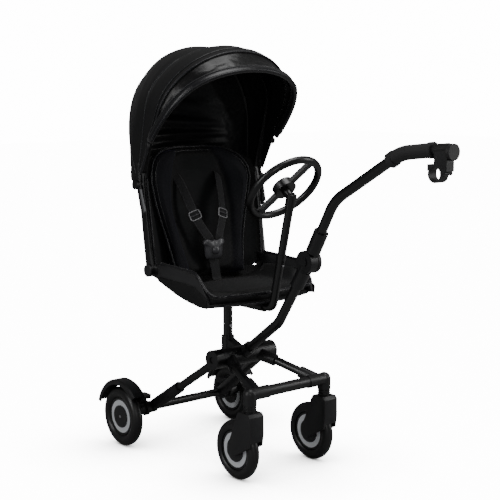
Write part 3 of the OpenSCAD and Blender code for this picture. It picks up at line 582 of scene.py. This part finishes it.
# Sizes of the pad in millimetres: half its width, its back edge, its top, the crown of its
# middle, the drop of its front lip and where the tub's sides start to climb.
PAD_HALF = 165.0
PAD_BACK = 104
PAD_TOP = 452
PAD_CROWN = 3.5
LIP_DROP = 7
TUB_START = 112
RIM_Y = [-112, -95, -82, -62, -34, 10, 60, 106]
RIM_Z = [447, 447, 451, 470, 497, 503, 503, 500]


def seat_front(x):
    """Where the bowed front edge runs at x."""
    t = (x + 168) / 336
    return -70 - 38 * math.sin(math.pi * min(max(t, 0), 1))


def panel_low(y):
    """The lowest part of the side, which climbs towards the backrest's pivot."""
    return float(np.interp(y, PANEL_Y, PANEL_LOW))


for vertex in side_panels.data.vertices:
    vertex_y = vertex.co.y * 1000 - HUB_Y
    if vertex_y < 122:
        vertex.co.z = max(vertex.co.z, panel_low(vertex_y) / 1000)


def seat_rim(y):
    """The height of the tub's sides."""
    return float(np.interp(y, RIM_Y, RIM_Z))


top_rows, bottom_rows = [], []
for i in range(41):
    v = i / 40
    top_row, bottom_row = [], []
    for j in range(57):
        u = j / 28 - 1
        x = PAD_HALF * u
        front_y = seat_front(x)
        y = front_y + (PAD_BACK - front_y) * v
        climb = min(max((abs(x) - TUB_START) / (PAD_HALF - TUB_START), 0), 1) ** 2.2
        lip = max(0.0, 1 - (y - front_y) / 26) ** 2
        flat = PAD_TOP + PAD_CROWN * math.sin(math.pi * v) * math.cos(math.pi * u / 2)
        z = flat + (seat_rim(y) - flat) * climb - LIP_DROP * lip
        top_row.append(at(x, y, z))
        under_z = SEAT_Z + 7 + max(0, panel_low(y) - SEAT_Z - 7) * climb ** 0.5
        bottom_row.append(at(x * 0.995, y + 1, min(under_z, z - 6)))
    top_rows.append(top_row)
    bottom_rows.append(bottom_row)
seat_pad = new_object("seat_pad", pillow_mesh("seat_pad", top_rows, bottom_rows), canvas)
plump(seat_pad, 0.005, 3.0, 0.006)
box_uv(seat_pad)
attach(seat_pad, "seat")
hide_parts("seat_cushion")

near_rim = [(172, 114, 513), (172, 60, 511), (172, 10, 509), (172, -22, 507), (172, -42, 498),
            (171, -62, 478), (167, -80, 461), (152, -92, 453)]
rim_path = [at(-x, y, z) for x, y, z in near_rim]
rim_path += [at(x, seat_front(x) - 1, 451) for x in (-120, -80, -40, 0, 40, 80, 120)]
rim_path += [at(x, y, z) for x, y, z in reversed(near_rim)]
seat_piping = sweep("seat_piping", smooth_path(rim_path, 200), ring(0.0042, 14), rim_tape)
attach(seat_piping, "seat")

# Below each side panel's top edge the same canvas is stretched over the moulding, and a
# gusset of it closes the corner behind the tub.
for side, way in (("left", 1), ("right", -1)):
    skirt_rows = []
    for y in np.linspace(-84, 120, 40):
        top = float(np.interp(y, [-84, -60, -30, 20, 120], [447, 459, 474, 478, 478]))
        low = panel_low(y)
        row = []
        for v in np.linspace(0, 1, 14):
            z = top + (low - top) * v
            give = 1.2 * math.sin(math.pi * v) + 1.6 * noise.noise(Vector((y / 26, v * 2, way)))
            row.append(at(way * (177.6 + give), y, z))
        skirt_rows.append(row)
    skirt = new_object("side_skirt_" + side, grid_mesh("side_skirt", skirt_rows), canvas)
    thicken(skirt, 0.002, 0)
    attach(skirt, "seat")

    gusset_rows = [[at(way * 171.5, y, 500 + (z - 500) * v) for v in np.linspace(0, 1, 10)]
                   for y, z in ((106, 464), (120, 468), (136, 472), (152, 476), (168, 482))]
    gusset = new_object("side_gusset_" + side, grid_mesh("side_gusset", gusset_rows), canvas)
    thicken(gusset, 0.002)
    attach(gusset, "seat")

# ---- Seat base ----
# A moulded tray wrapped in the same canvas, with its own piping low along the front lip.
# The tray is fixed to the mount on the seat post.

base_rows = []
for i in range(49):
    x = -167.5 + 335 * i / 48
    y = seat_front(x)
    base_rows.append([at(x * 0.5, 118, SEAT_Z + 24), at(x * 0.6, 70, SEAT_Z + 10),
                      at(x * 0.82, 10, SEAT_Z + 8), at(x, -50, SEAT_Z + 8),
                      at(x, y + 3, SEAT_Z + 8),
                      at(x, y - 1.5, SEAT_Z + 5.5), at(x, y - 1.5, SEAT_Z + 2),
                      at(x, y + 4, SEAT_Z - 0.6), at(x, -50, SEAT_Z - 0.6),
                      at(x * 0.82, 10, SEAT_Z - 0.6), at(x * 0.6, 70, SEAT_Z + 1),
                      at(x * 0.5, 118, SEAT_Z + 12)])
seat_base = new_object("seat_base", grid_mesh("seat_base", base_rows, closed_across=True,
                                              caps=True), canvas)
seat_base.data.set_sharp_from_angle(angle=math.radians(45))
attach(seat_base, "seat")
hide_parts("seat_pan")
lip_path = [at(x, seat_front(x) - 2.6, SEAT_Z + 3) for x in np.linspace(-160, 160, 60)]
lip_piping = sweep("lip_piping", lip_path, ring(0.0024), piping_tape)
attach(lip_piping, "seat")

# ---- Backrest cover and liner ----
# The backrest is a curved shell in canvas. On it lies a padded liner with soft bolsters at
# the sides, a darker middle and two lines of piping round its edge.

# The pivot, the lean, and the shell's arc from its half width and depth, in millimetres.
PIVOT_Y = 140.0
PIVOT_Z = SEAT_Z + 71.0
LEAN = math.radians(8.3)
SHELL_HALF = 178.0
SHELL_DEPTH = 50.0
SHELL_R = (SHELL_HALF ** 2 + SHELL_DEPTH ** 2) / (2 * SHELL_DEPTH)
SHELL_Y = SHELL_DEPTH - SHELL_R


def on_back(x, depth, s):
    """A point on the backrest: depth in front of the shell's outer face, s up from the pivot."""
    y = SHELL_Y + math.sqrt((SHELL_R - depth) ** 2 - x * x)
    return at(x, PIVOT_Y + y * math.cos(LEAN) + s * math.sin(LEAN),
              PIVOT_Z - y * math.sin(LEAN) + s * math.cos(LEAN))


COVER_S = [-38, 0, 60, 140, 200, 240, 270, 290, 302, 308]
COVER_HALF = [132, 184, 187, 188, 188, 187, 178, 152, 112, 40]
cover_front, cover_back = [], []
for s in np.concatenate([np.linspace(-38, 260, 40), np.linspace(265, 308, 16)]):
    half = float(np.interp(s, COVER_S, COVER_HALF))
    cover_front.append([on_back(half * u, 5.7, s) for u in np.linspace(-1, 1, 61)])
    cover_back.append([on_back(half * u, 0.3, s) for u in np.linspace(-1, 1, 61)])
back_cover = new_object("back_cover", pillow_mesh("back_cover", cover_front, cover_back), canvas)
box_uv(back_cover)
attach(back_cover, "backrest")
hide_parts("backrest_shell")
for side, way in (("left", 1), ("right", -1)):
    edge = [on_back(way * (float(np.interp(s, COVER_S, COVER_HALF)) - 8), 9, s)
            for s in np.linspace(-20, 236, 60)]
    cover_piping = sweep("cover_piping_" + side, edge, ring(0.0024), rim_tape)
    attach(cover_piping, "backrest")

# A loose flap of canvas closes the gap between the seat and the foot of the backrest.
flap_rows = []
for i in range(57):
    x = 171 * (i / 28 - 1)
    foot = on_back(x, 14, -20)
    lift = 24 * abs(x / 171) ** 5
    row = [at(x, 92, 449 + 0.6 * lift), at(x, 108, 447 + lift), at(x, 124, 446 + 1.2 * lift)]
    row += [row[-1].lerp(foot, share) - Vector((0, 0, 0.008 * math.sin(math.pi * share)))
            for share in (0.25, 0.5, 0.75, 1.0)]
    flap_rows.append(smooth_path(row, 24))
seat_flap = new_object("seat_flap", grid_mesh("seat_flap", flap_rows), canvas)
thicken(seat_flap, 0.003)
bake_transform(seat_flap)

LINER_S = [-35, 0, 25, 70, 120, 180, 222, 250, 275, 292, 304, 311, 315]
LINER_HALF = [110, 114, 118, 127, 140, 156, 164, 161, 149, 132, 109, 83, 46]


def liner_half(s):
    return float(np.interp(s, LINER_S, LINER_HALF))


def lumbar(s):
    """How much further forward the pad stands towards its foot."""
    return 34 * max(0.0, 1 - (s + 35) / 215) ** 1.4


def liner_centre(s):
    """Half the width of the darker middle panel."""
    return float(np.interp(s, [-35, 60, 150, 220, 280, 315], [70, 86, 98, 92, 72, 50]))


liner_front, liner_back = [], []
for s in np.concatenate([np.linspace(-35, 270, 52), np.linspace(275, 315, 14)]):
    half = liner_half(s)
    front_row, back_row = [], []
    for u in np.linspace(-1, 1, 75):
        x = half * u
        edge = min(1.0, (1 - abs(u)) * half / 16, (s + 36) / 16, (316.5 - s) / 12)
        crown = math.sqrt(max(0.0, 1 - (1 - edge) ** 2))
        seam = math.exp(-((abs(x) - liner_centre(s)) / 4.5) ** 2)
        bolster = 1 / (1 + math.exp(-(abs(x) - liner_centre(s)) / 5))
        depth = 7.5 + (13.5 + lumbar(s) + 6.5 * bolster - 5.5 * seam) * crown
        front_row.append(on_back(x, depth, s))
        back_row.append(on_back(x, 6.6, s))
    liner_front.append(front_row)
    liner_back.append(back_row)
# Brushed velour of the liner: a deep blue-black with a strong, soft sheen at the sides.
velour = cloth("blue_black_velour", "#07070c", "#111120", 1.6, 0.8, 0.2, fuzz=0.6, crease=1.2)
velour.node_tree.nodes["Principled BSDF"].inputs["Sheen Tint"].default_value = linear("#5f5f84")
# Spacer mesh of the middle panel: black, drier and more open than the velour.
spacer_mesh = cloth("black_spacer_mesh", "#020203", "#070709", 2.4, 0.75, 0.05, fuzz=0.2,
                    depth_mm=0.5, crease=0.8)
liner = new_object("seat_liner_pad", pillow_mesh("seat_liner_pad", liner_front, liner_back),
                   velour)
plump(liner, 0.0045, 3.0, 0.005)
box_uv(liner)
liner.data.materials.append(spacer_mesh)
for polygon in liner.data.polygons:
    dy = polygon.center.y * 1000 - HUB_Y - PIVOT_Y
    dz = polygon.center.z * 1000 - PIVOT_Z
    s = dz * math.cos(LEAN) + dy * math.sin(LEAN)
    if abs(polygon.center.x) * 1000 < liner_centre(s):
        polygon.material_index = 1
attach(liner, "backrest")
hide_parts("seat_liner")

outline = [(-liner_half(s), s) for s in np.linspace(-30, 240, 40)]
outline += [(-liner_half(s), s) for s in np.linspace(246, 311, 24)]
outline += [(x, 315.0) for x in (-46, -20, 20, 46)]
outline += [(-x, s) for x, s in reversed(outline[:64])]
for name, inset, depth, radius in (("liner_piping_outer", 0, 14, 0.0027),
                                   ("liner_piping_inner", 11, 22, 0.0016)):
    line = []
    for x, s in outline:
        shrink = inset / max(60.0, abs(x))
        line.append(on_back(x * (1 - shrink), depth + 0.75 * lumbar(s),
                            s - inset * max(0, (s - 250) / 65)))
    piping = sweep(name, smooth_path(line, 220), ring(radius), piping_tape)
    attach(piping, "backrest")
for side, way in (("left", 1), ("right", -1)):
    seam_line = [on_back(way * liner_centre(s), 20.5 + lumbar(s), s)
                 for s in np.linspace(-10, 300, 70)]
    seam = sweep("bolster_seam_" + side, seam_line, ring(0.0012, 8), piping_tape)
    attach(seam, "backrest")

# ---- Harness ----
# Charcoal webbing from two slots in the liner to a buckle on the crotch strap, with a slide
# on each shoulder strap. The edges are stitched.

# Woven polyester webbing: ribbed across, matt charcoal.
webbing = cloth("charcoal_webbing", "#161617", "#313134", 1.4, 0.7, 0.1, depth_mm=0.5)
# The slides and buckle are moulded acetal: smooth mid grey.
acetal = grained("mid_grey_acetal", "#39393c", "#47474a", 0.34, 1.0, 0.05)
# Slide acetal: the same plastic as the buckle, in a paler grey that is a painted highlight for the
# light its thin edges catch.
acetal_painted_highlight = grained("acetal_grey_painted_highlight", "#8a8a8c", "#9a9a9c", 0.3, 1.0, 0.05)
# Sewing thread: dull grey polyester.
thread = grained("grey_sewing_thread", "#3c3c40", "#4c4c50", 0.6, 0.6, 0.05)

STITCH = (("Spacing", 0.004), ("Stitch Length", 0.0026), ("Thread", 0.0008))


def stitch_tree():
    """Geometry nodes that lay short stitches along the edges of a line mesh."""
    tree = bpy.data.node_groups.new("stitch_row", "GeometryNodeTree")
    face = tree.interface
    face.new_socket("Geometry", in_out="INPUT", socket_type="NodeSocketGeometry")
    for name, value in STITCH:
        face.new_socket(name, in_out="INPUT", socket_type="NodeSocketFloat").default_value = value
    face.new_socket("Material", in_out="INPUT", socket_type="NodeSocketMaterial")
    face.new_socket("Geometry", in_out="OUTPUT", socket_type="NodeSocketGeometry")
    given = add(tree, "NodeGroupInput")
    curve = add(tree, "GeometryNodeMeshToCurve", {"Mesh": given.outputs["Geometry"]})
    spaced = add(tree, "GeometryNodeCurveToPoints", {"Curve": curve.outputs["Curve"],
                                                     "Length": given.outputs["Spacing"]},
                 mode="LENGTH")
    size = add(tree, "ShaderNodeCombineXYZ", {"X": given.outputs["Thread"],
                                              "Y": given.outputs["Thread"],
                                              "Z": given.outputs["Stitch Length"]})
    stitch = add(tree, "GeometryNodeMeshCylinder", {"Vertices": 6, "Radius": 0.5, "Depth": 1.0})
    placed = add(tree, "GeometryNodeInstanceOnPoints",
                 {"Points": spaced.outputs["Points"], "Instance": stitch.outputs["Mesh"],
                  "Rotation": spaced.outputs["Rotation"], "Scale": size.outputs["Vector"]})
    real = add(tree, "GeometryNodeRealizeInstances", {"Geometry": placed.outputs["Instances"]})
    coloured = add(tree, "GeometryNodeSetMaterial", {"Geometry": real.outputs["Geometry"],
                                                     "Material": given.outputs["Material"]})
    add(tree, "NodeGroupOutput", {"Geometry": coloured.outputs["Geometry"]})
    return tree


stitching = stitch_tree()


def stitch_rows(name, lines):
    """Stitches along each line of points, as one plain mesh."""
    verts, edges = [], []
    for line in lines:
        start = len(verts)
        verts += [tuple(p) for p in line]
        edges += [(k, k + 1) for k in range(start, len(verts) - 1)]
    mesh = bpy.data.meshes.new(name)
    mesh.from_pydata(verts, edges, [])
    obj = bpy.data.objects.new(name, mesh)
    bpy.context.scene.collection.objects.link(obj)
    rows = obj.modifiers.new("rows", "NODES")
    rows.node_group = stitching
    keys = {s.name: s.identifier for s in stitching.interface.items_tree
            if s.item_type == "SOCKET" and s.in_out == "INPUT"}
    for key, value in STITCH + (("Material", thread),):
        rows[keys[key]] = value
    return settle(obj)


def strap_section(width, thick):
    """The section of a woven strap, thinner at its edges."""
    w, t = width / 2, thick / 2
    return [(-w, -t * 0.4), (-w + 0.0012, -t), (w - 0.0012, -t), (w, -t * 0.4), (w, t * 0.4),
            (w - 0.0012, t), (-w + 0.0012, t), (-w, t * 0.4)]


buckle = middle("buckle_body")
BUCKLE_Y = buckle.y * 1000 - HUB_Y
BUCKLE_Z = buckle.z * 1000
# The strap's point that carries the slide.
SLIDE_AT = 36


def squared(a, power_x, power_y):
    """A point of a circle that is pushed out towards a square."""
    c, s = math.cos(a), math.sin(a)
    return abs(c) ** power_x * (1 if c > 0 else -1), abs(s) ** power_y * (1 if s > 0 else -1)


for side, way in (("left", 1), ("right", -1)):
    route = [on_back(way * 71, 20, 243), on_back(way * 70, 27, 236)]
    route += [at(way * 64, 176, 708), at(way * 54, 152, 660), at(way * 43, 134, 617),
              at(way * 29, 124, 588), at(way * 17, BUCKLE_Y - 1, BUCKLE_Z + 30),
              at(way * 15, BUCKLE_Y, BUCKLE_Z + 20)]
    line = smooth_path(route, 60)
    lean_in = Vector((way * 0.25, -0.86, 0.45))
    strap = sweep("shoulder_strap_" + side, line, strap_section(0.026, 0.0018), webbing,
                  up=tuple(lean_in))
    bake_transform(strap)
    if side == "left":
        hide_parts("shoulder_straps")
    edges = []
    for offset in (-0.0105, 0.0105):
        row = []
        for k in range(3, 57):
            tangent = (line[k + 1] - line[k - 1]).normalized()
            across = tangent.cross(lean_in).normalized()
            row.append(line[k] + across * offset + across.cross(tangent) * 0.0011)
        edges.append(row)
    strap_stitches = stitch_rows("strap_stitches_" + side, edges)
    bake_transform(strap_stitches)
    k = SLIDE_AT
    tangent = (line[k + 1] - line[k - 1]).normalized()
    across = tangent.cross(lean_in).normalized()
    outward = across.cross(tangent)
    frame_line = []
    for a in turn(48):
        p = squared(a, 0.35, 0.35)
        frame_line.append(line[k] + across * 0.0158 * p[0] + tangent * 0.0118 * p[1]
                          + outward * 0.0018)
    slide = sweep("strap_slide_" + side, frame_line,
                  [(0.0014 * math.cos(b), 0.0018 * math.sin(b)) for b in turn(8)],
                  acetal_painted_highlight, up=tuple(outward), closed=True)
    bar = sweep("strap_slide_bar_" + side,
                [line[k] - across * 0.015 + outward * 0.003, line[k] + across * 0.015
                 + outward * 0.003], ring(0.0018, 8), acetal, up=tuple(outward))
    for piece in (slide, bar):
        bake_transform(piece)
    loop_line = []
    for a in turn(40):
        p = squared(a, 0.4, 0.6)
        loop_line.append(on_back(way * 71 + 25 * p[0], 23.5, 244 + 5 * p[1]))
    loop = sweep("harness_slot_" + side, loop_line, ring(0.0018, 8), nylon, up=(0, -1, 0.1),
                 closed=True)
    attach(loop, "backrest")


def plate_mesh(name, outline_mm, centre, thick, crown):
    """A plate in the fore-and-aft facing plane, domed towards the front."""
    rings = []
    for shrink, rise in ((0.0, -thick / 2), (1.0, -thick / 2), (1.04, 0.0), (1.0, thick * 0.32),
                         (0.9, thick / 2), (0.6, thick / 2 + crown * 0.75),
                         (0.0, thick / 2 + crown)):
        rings.append([centre + Vector((x * max(shrink, 1e-3), -rise, z * max(shrink, 1e-3))) / 1000
                      for x, z in outline_mm])
    return grid_mesh(name, rings, closed_across=True, caps=True)


def rounded_outline(points, count=72):
    """A smooth closed outline through the given corners."""
    corners = [Vector((x, z, 0)) for x, z in points]
    return [(p.x, p.y) for p in smooth_path(corners + corners[:1], count + 1)[:-1]]


buckle_outline = rounded_outline([(-31, 22), (-22, 26), (-8, 22), (0, 24), (8, 22), (22, 26),
                                  (31, 22), (32, 14), (27, 8), (26, -10), (22, -24), (10, -27),
                                  (-10, -27), (-22, -24), (-26, -10), (-27, 8), (-32, 14)])
buckle_case = new_object("buckle_case", plate_mesh("buckle_case", buckle_outline,
                                                   at(0, BUCKLE_Y, BUCKLE_Z), 13, 2.5), acetal)
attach(buckle_case, "seat")
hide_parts("buckle_body")
button = new_object("buckle_push_button",
                    plate_mesh("buckle_push_button", ring(11, 48),
                               middle("buckle_button") + Vector((0, -0.003, 0)), 7, 2.5), acetal)
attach(button, "buckle_release")
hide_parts("buckle_button")
crotch_line = smooth_path([at(0, BUCKLE_Y + y, z)
                           for y, z in ((2, BUCKLE_Z - 18), (-2, BUCKLE_Z - 34), (-8, 478),
                                        (-12, 462), (-18, 455))], 30)
crotch = sweep("crotch_webbing", crotch_line, strap_section(0.029, 0.002), webbing,
               up=(0, -1, 0.2))
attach(crotch, "seat")
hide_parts("crotch_strap")

# ---- Canopy ----
# Black canvas stretched over bows that turn on the backrest's hinges. The rear and middle
# panels are one fixed skin; the front panel slides over it.

HINGE_Y = middle("hood_hinges").y * 1000 - HUB_Y
HINGE_Z = middle("hood_hinges").z * 1000
# The canopy's shape, by forward angle in degrees: how high it stands, how high its sides
# start as a share of that, and half its width.
BOW_A = [-82, -60, -45, -35, -29, -25, -23, -18, -10, -2, 6, 11, 12, 14, 18, 23, 25.5, 27.5]
BOW_R = [148, 168, 212, 260, 300, 329, 331, 340, 348, 351, 350, 345, 350, 360, 369, 374, 377,
         377]
BOW_S = [0.05, 0.05, 0.05, 0.06, 0.08, 0.13, 0.15, 0.2, 0.32, 0.44, 0.52] + [0.56] * 7
BOW_HALF = [194.8, 194.8, 194.8, 195, 195.2, 195.4, 195.5, 197.2, 198, 198.4, 198.4, 198.2,
            201.8] + [202] * 5
# The bows' feet: how far from the hinge they start, and the straight part of each side.
BOW_FOOT = 30.0
LEG_SHARE = 0.2


def bow_point(a, t, lift=0.0):
    """A point of the hood at forward angle a: t runs from 0 to 1 from side to side."""
    r_top = float(np.interp(a, BOW_A, BOW_R)) + lift
    s = float(np.interp(a, BOW_A, BOW_S))
    half = float(np.interp(a, BOW_A, BOW_HALF)) + lift
    if t < LEG_SHARE:
        x, r = -half, BOW_FOOT + (r_top * s - BOW_FOOT) * t / LEG_SHARE
    elif t > 1 - LEG_SHARE:
        x, r = half, BOW_FOOT + (r_top * s - BOW_FOOT) * (1 - t) / LEG_SHARE
    else:
        theta = math.pi * (1 - (t - LEG_SHARE) / (1 - 2 * LEG_SHARE))
        x, r = half * math.cos(theta), r_top * (s + (1 - s) * math.sin(theta))
    rad = math.radians(a)
    return at(x, HINGE_Y - r * math.sin(rad), HINGE_Z + r * math.cos(rad))


HOOD_T = np.linspace(0, 1, 97)


def hood_skin(name, angles, first_rows=(), last_rows=()):
    """A skin of canvas over a run of bow angles."""
    rows = list(first_rows) + [[bow_point(a, t) for t in HOOD_T] for a in angles]
    return thicken(new_object(name, grid_mesh(name, rows + list(last_rows)), canvas), 0.0022, 0)


# The rear skin starts under the canopy, tucked in towards the backrest.
under = []
for share in (0.42, 0.7, 0.9):
    row = []
    for t in HOOD_T:
        p = bow_point(-82, t)
        toward = at(p.x * 1000 * (0.9 + 0.1 * share), HINGE_Y + 60, HINGE_Z + 16)
        row.append(toward.lerp(p, share) if abs(p.x) < 0.19 else p.lerp(toward, (1 - share) * 0.2))
    under.append(row)
rear_angles = list(np.linspace(-82, -30, 40)) + list(np.linspace(-29, 11.4, 46))
# Its front edge is tucked under the front panel.
tucked = [[bow_point(a, t, 343 - float(np.interp(a, BOW_A, BOW_R))) for t in HOOD_T]
          for a in (13, 15, 17)]
canopy_rear = hood_skin("canopy_rear_skin", rear_angles, under, tucked)

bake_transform(canopy_rear)
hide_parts("hood_rear", "hood_mid")
canopy_front = hood_skin("canopy_front_panel", list(np.linspace(11.6, 27.2, 26)))
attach(canopy_front, "hood_front")
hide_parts("hood_front")

for name, a, lift, radius, body in (("bow_piping_rear", -24.2, 1.5, 0.0022, "backrest"),
                                    ("bow_piping_middle", 11.6, 2.0, 0.0024, "hood_middle"),
                                    ("bow_piping_front", 24.6, 1.6, 0.0018, "hood_front"),
                                    ("bow_piping_edge", 27.6, 1.2, 0.003, "hood_front")):
    line = [bow_point(a, t, lift) for t in np.linspace(0, 1, 120)]
    piping = sweep(name, line, ring(radius), piping_tape, up=(0, 1, 0))
    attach(piping, body)

# ---- Canopy lining ----
# The wall of thin satin behind the child's head is stretched from side to side, so it hangs
# in level folds above the liner.

# Thin satin lining: a softer, brighter gloss than the canvas.
satin = cloth("thin_black_satin", "#0b0b0d", "#1c1c1f", 1.2, 0.42, 0.15, fuzz=0.1, depth_mm=0.08,
              crease=1.0)


def inside_hood(x, y, z):
    """The point, drawn in towards the middle until it clears the hood's skin by 6 mm."""
    for share in np.linspace(1, 0.4, 61):
        back, up = (y - HINGE_Y) * share, z - HINGE_Z
        r, a = math.hypot(back, up), math.degrees(math.atan2(-back, up))
        top = float(np.interp(a, BOW_A, BOW_R)) - 6
        low = float(np.interp(a, BOW_A, BOW_S))
        rise = (r / top - low) / (1 - low)
        room = (float(np.interp(a, BOW_A, BOW_HALF)) - 6) * math.sqrt(max(0, 1 - max(0, rise) ** 2))
        if rise < 1 and abs(x) * share < room:
            break
    return at(x * share, HINGE_Y + back, z)


# The lining's foot and height, and its folds: level, depth, width and slant of each.
LINING_FOOT = 768
LINING_RISE = 232
LINING_FOLDS = ((0.14, 7, 0.035, 0.05), (0.27, 10, 0.045, 0.02), (0.43, 9, 0.05, -0.05),
                (0.66, 4, 0.07, -0.08))
lining_rows = []
for i in range(64):
    h = i / 63
    z = LINING_FOOT + LINING_RISE * h
    row = []
    back_y = 302 - 30 * max(0, h - 0.55) ** 1.3
    half = 184 - 40 * max(0, h - 0.4) ** 2 * 2.6
    for j in range(81):
        u = j / 40 - 1
        angle = math.pi / 2 * u
        y = 196 + (back_y - 196) * math.cos(angle) ** 0.8
        x = half * math.sin(angle)
        fold = 0.0
        for k, (level, deep, wide, slant) in enumerate(LINING_FOLDS):
            sagging = (level - 0.03 * math.cos(math.pi * u / 2) + slant * u
                       + 0.012 * math.sin(4 * u + k))
            fold += deep * math.exp(-((h - sagging) / wide) ** 2)
        fold *= 0.35 + 0.65 * abs(math.cos(math.pi * u / 2)) ** 0.5
        soft = noise.fractal(Vector((u * 2.2, h * 5, 3.1)), 1.0, 2.0, 3) * 4
        y -= (fold + soft) * math.cos(angle)
        row.append(inside_hood(x, y, z + 4 * math.cos(math.pi * u / 2)))
    lining_rows.append(row)
lining = new_object("canopy_lining", grid_mesh("canopy_lining", lining_rows), satin)
thicken(lining, 0.0012)
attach(lining, "backrest")

# ---- Visor ----
# A satin peak between the front bow and a stiff padded rim. The rim turns on a rivet at each
# side of the bow; the cloth stays fixed, and wrinkles where the rim draws it in.

# The rivets sit RIM_FOOT up the bow. From there the rim leans forward by RIM_ANGLE and
# reaches RIM_REACH, with RIM_HALF to each side and its sides rising from RIM_S of the reach.
VISOR_A = math.radians(27.5)
RIM_FOOT = 115
VISOR_Y = HINGE_Y - RIM_FOOT * math.sin(VISOR_A)
VISOR_Z = HINGE_Z + RIM_FOOT * math.cos(VISOR_A)
RIM_ANGLE = math.radians(41.8)
RIM_REACH = 254.0
RIM_HALF = 208.0
RIM_S = 0.1


def rim_point(t, out=0.0):
    """The middle line of the rim: t runs from 0 to 1 from side to side."""
    theta = math.pi * (1 - t)
    rise = max(0.0, math.sin(theta))
    r = (RIM_REACH + out) * (RIM_S * min(1, rise * 1.6) + (1 - RIM_S) * rise ** 0.6)
    x = (RIM_HALF + out) * math.cos(theta)
    return at(x, VISOR_Y - r * math.sin(RIM_ANGLE), VISOR_Z + r * math.cos(RIM_ANGLE))


def front_bow_point(t):
    """The front bow above the rivets, in step with rim_point."""
    foot_t = LEG_SHARE * (RIM_FOOT - BOW_FOOT) / (BOW_R[-1] * BOW_S[-1] - BOW_FOOT)
    return bow_point(27.4, foot_t + (1 - 2 * foot_t) * t, -1.0)


visor_rows = []
for i in range(28):
    v = i / 27
    row = []
    for t in np.linspace(0.01, 0.99, 121):
        bow_p, rim_p = front_bow_point(t), rim_point(t)
        p = bow_p.lerp(rim_p, v)
        span = (rim_p - bow_p).length
        inward = (at(0, VISOR_Y - 40, VISOR_Z) - p).normalized()
        dip = 0.11 * span * math.sin(math.pi * v) ** 0.9
        pull = noise.fractal(Vector((t * 26, v * 2.4, 5.5)), 1.0, 2.0, 3)
        ripple = math.sin(t * 70 + 3 * math.sin(t * 9) + v * 2) * (1 - v * 0.3)
        reach = min(1, span / 0.09) ** 1.5
        give = (0.0035 * pull + 0.0012 * ripple) * math.sin(math.pi * v)
        p = p + inward * (dip + give) * reach
        row.append(p)
    visor_rows.append(row)
# Coated satin of the visor: the glossiest cloth on the part.
visor_satin = cloth("coated_visor_satin", "#050506", "#0d0d10", 1.2, 0.3, 0.1, fuzz=0.1,
                    depth_mm=0.08, crease=1.6)
visor_panel = new_object("visor_panel", grid_mesh("visor_panel", visor_rows), visor_satin)
thicken(visor_panel, 0.0016, 0)
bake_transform(visor_panel)
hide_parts("visor")

# The rim is a flat padded binding with a cord sewn in along both edges.
rim_line = [rim_point(t) for t in np.linspace(0.004, 0.996, 150)]
rim_normal = Vector((0, -math.cos(RIM_ANGLE), -math.sin(RIM_ANGLE)))
rim_section = [(0.0095 * math.copysign(abs(math.cos(b)) ** 0.7, math.cos(b)),
                0.0062 * math.copysign(abs(math.sin(b)) ** 0.8, math.sin(b)))
               for b in turn(20)]
rim = sweep("visor_rim", rim_line, [(b, a) for a, b in rim_section], rim_tape,
            up=tuple(rim_normal))
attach(rim, "visor")
for name, out, fall in (("rim_cord_upper", 4.5, -8.0), ("rim_cord_lower", 4.5, 8.0)):
    line = [rim_point(t, out) + rim_normal * fall / 1000 for t in np.linspace(0.01, 0.99, 150)]
    cord_line = sweep(name, line, ring(0.002), piping_tape, up=tuple(rim_normal))
    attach(cord_line, "visor")
for side, way in (("left", 1), ("right", -1)):
    spots = [(0.0, 0.004), (0.006, 0.0038), (0.0085, 0.0025), (0.0095, 0.0)]
    rows = [[at(way * (RIM_HALF - 2), VISOR_Y, VISOR_Z) + Vector(
        (way * rise, max(r, 1e-5) * math.cos(a), max(r, 1e-5) * math.sin(a)))
             for a in turn(32)] for r, rise in spots]
    rivet = new_object("visor_rivet_" + side,
                       grid_mesh("visor_rivet", rows, closed_across=True, caps=True), nylon)
    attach(rivet, "visor")

# ---- Hood hinge tabs ----
# A slim nylon bar runs down beside each hinge, and a blank light-grey woven tab is sewn to
# the edge of the back cover there.

# Woven nylon tape, light grey.
tab_tape = cloth("light_grey_woven_tab", "#6f7072", "#8f9092", 1.0, 0.6, 0.1, depth_mm=0.2)
for side, way in (("left", 1), ("right", -1)):
    bar_line = [at(way * 201, 170, 770), at(way * 201, 168, 735), at(way * 201, 167, 706),
                at(way * 200, 159, 668), at(way * 199, 151, 638)]
    hinge_bar = sweep("hinge_bar_" + side, smooth_path(bar_line, 24), strap_section(0.015, 0.005),
                      nylon, up=(way, 0, 0))
    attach(hinge_bar, "backrest")
    tab_line = [at(way * 202.5, 157, 703), at(way * 202.2, 154, 690), at(way * 201, 147, 665),
                at(way * 200, 142, 648)]
    tab = sweep("hinge_tab_" + side, smooth_path(tab_line, 16), strap_section(0.008, 0.0014),
                tab_tape, up=(way, 0, 0))
    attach(tab, "backrest")

# ---- Steering wheel ----
# A moulded toy wheel: a satin rim, two flat spokes in line and a hub with a push button.
# It is one moulding that turns on the top of the column.

# Steering wheel plastic: a touch glossier than the frame mouldings.
wheel_plastic = grained("satin_black_wheel_plastic", "#060607", "#0b0b0d", 0.34, 1.4, 0.1)
dress(wheel_plastic, "steering_wheel", "horn_button")

# ---- Arm grip ----
# Charcoal rubber pulled over the top of the arm, up to the clamp. It is moulded as a sleeve
# and held by its own stretch.

# Moulded rubber: dull charcoal, dry to the touch.
grip_rubber = grained("charcoal_grip_rubber", "#151516", "#202021", 0.68, 1.8, 0.3)
dress(grip_rubber, "grip")

# ---- Host clamp ----
# The jaw and knob that close on the host's tube. Both are moulded in the dark grey nylon of
# the wheel rims.

dress(rim_nylon, "clamp_jaw", "clamp_knob")
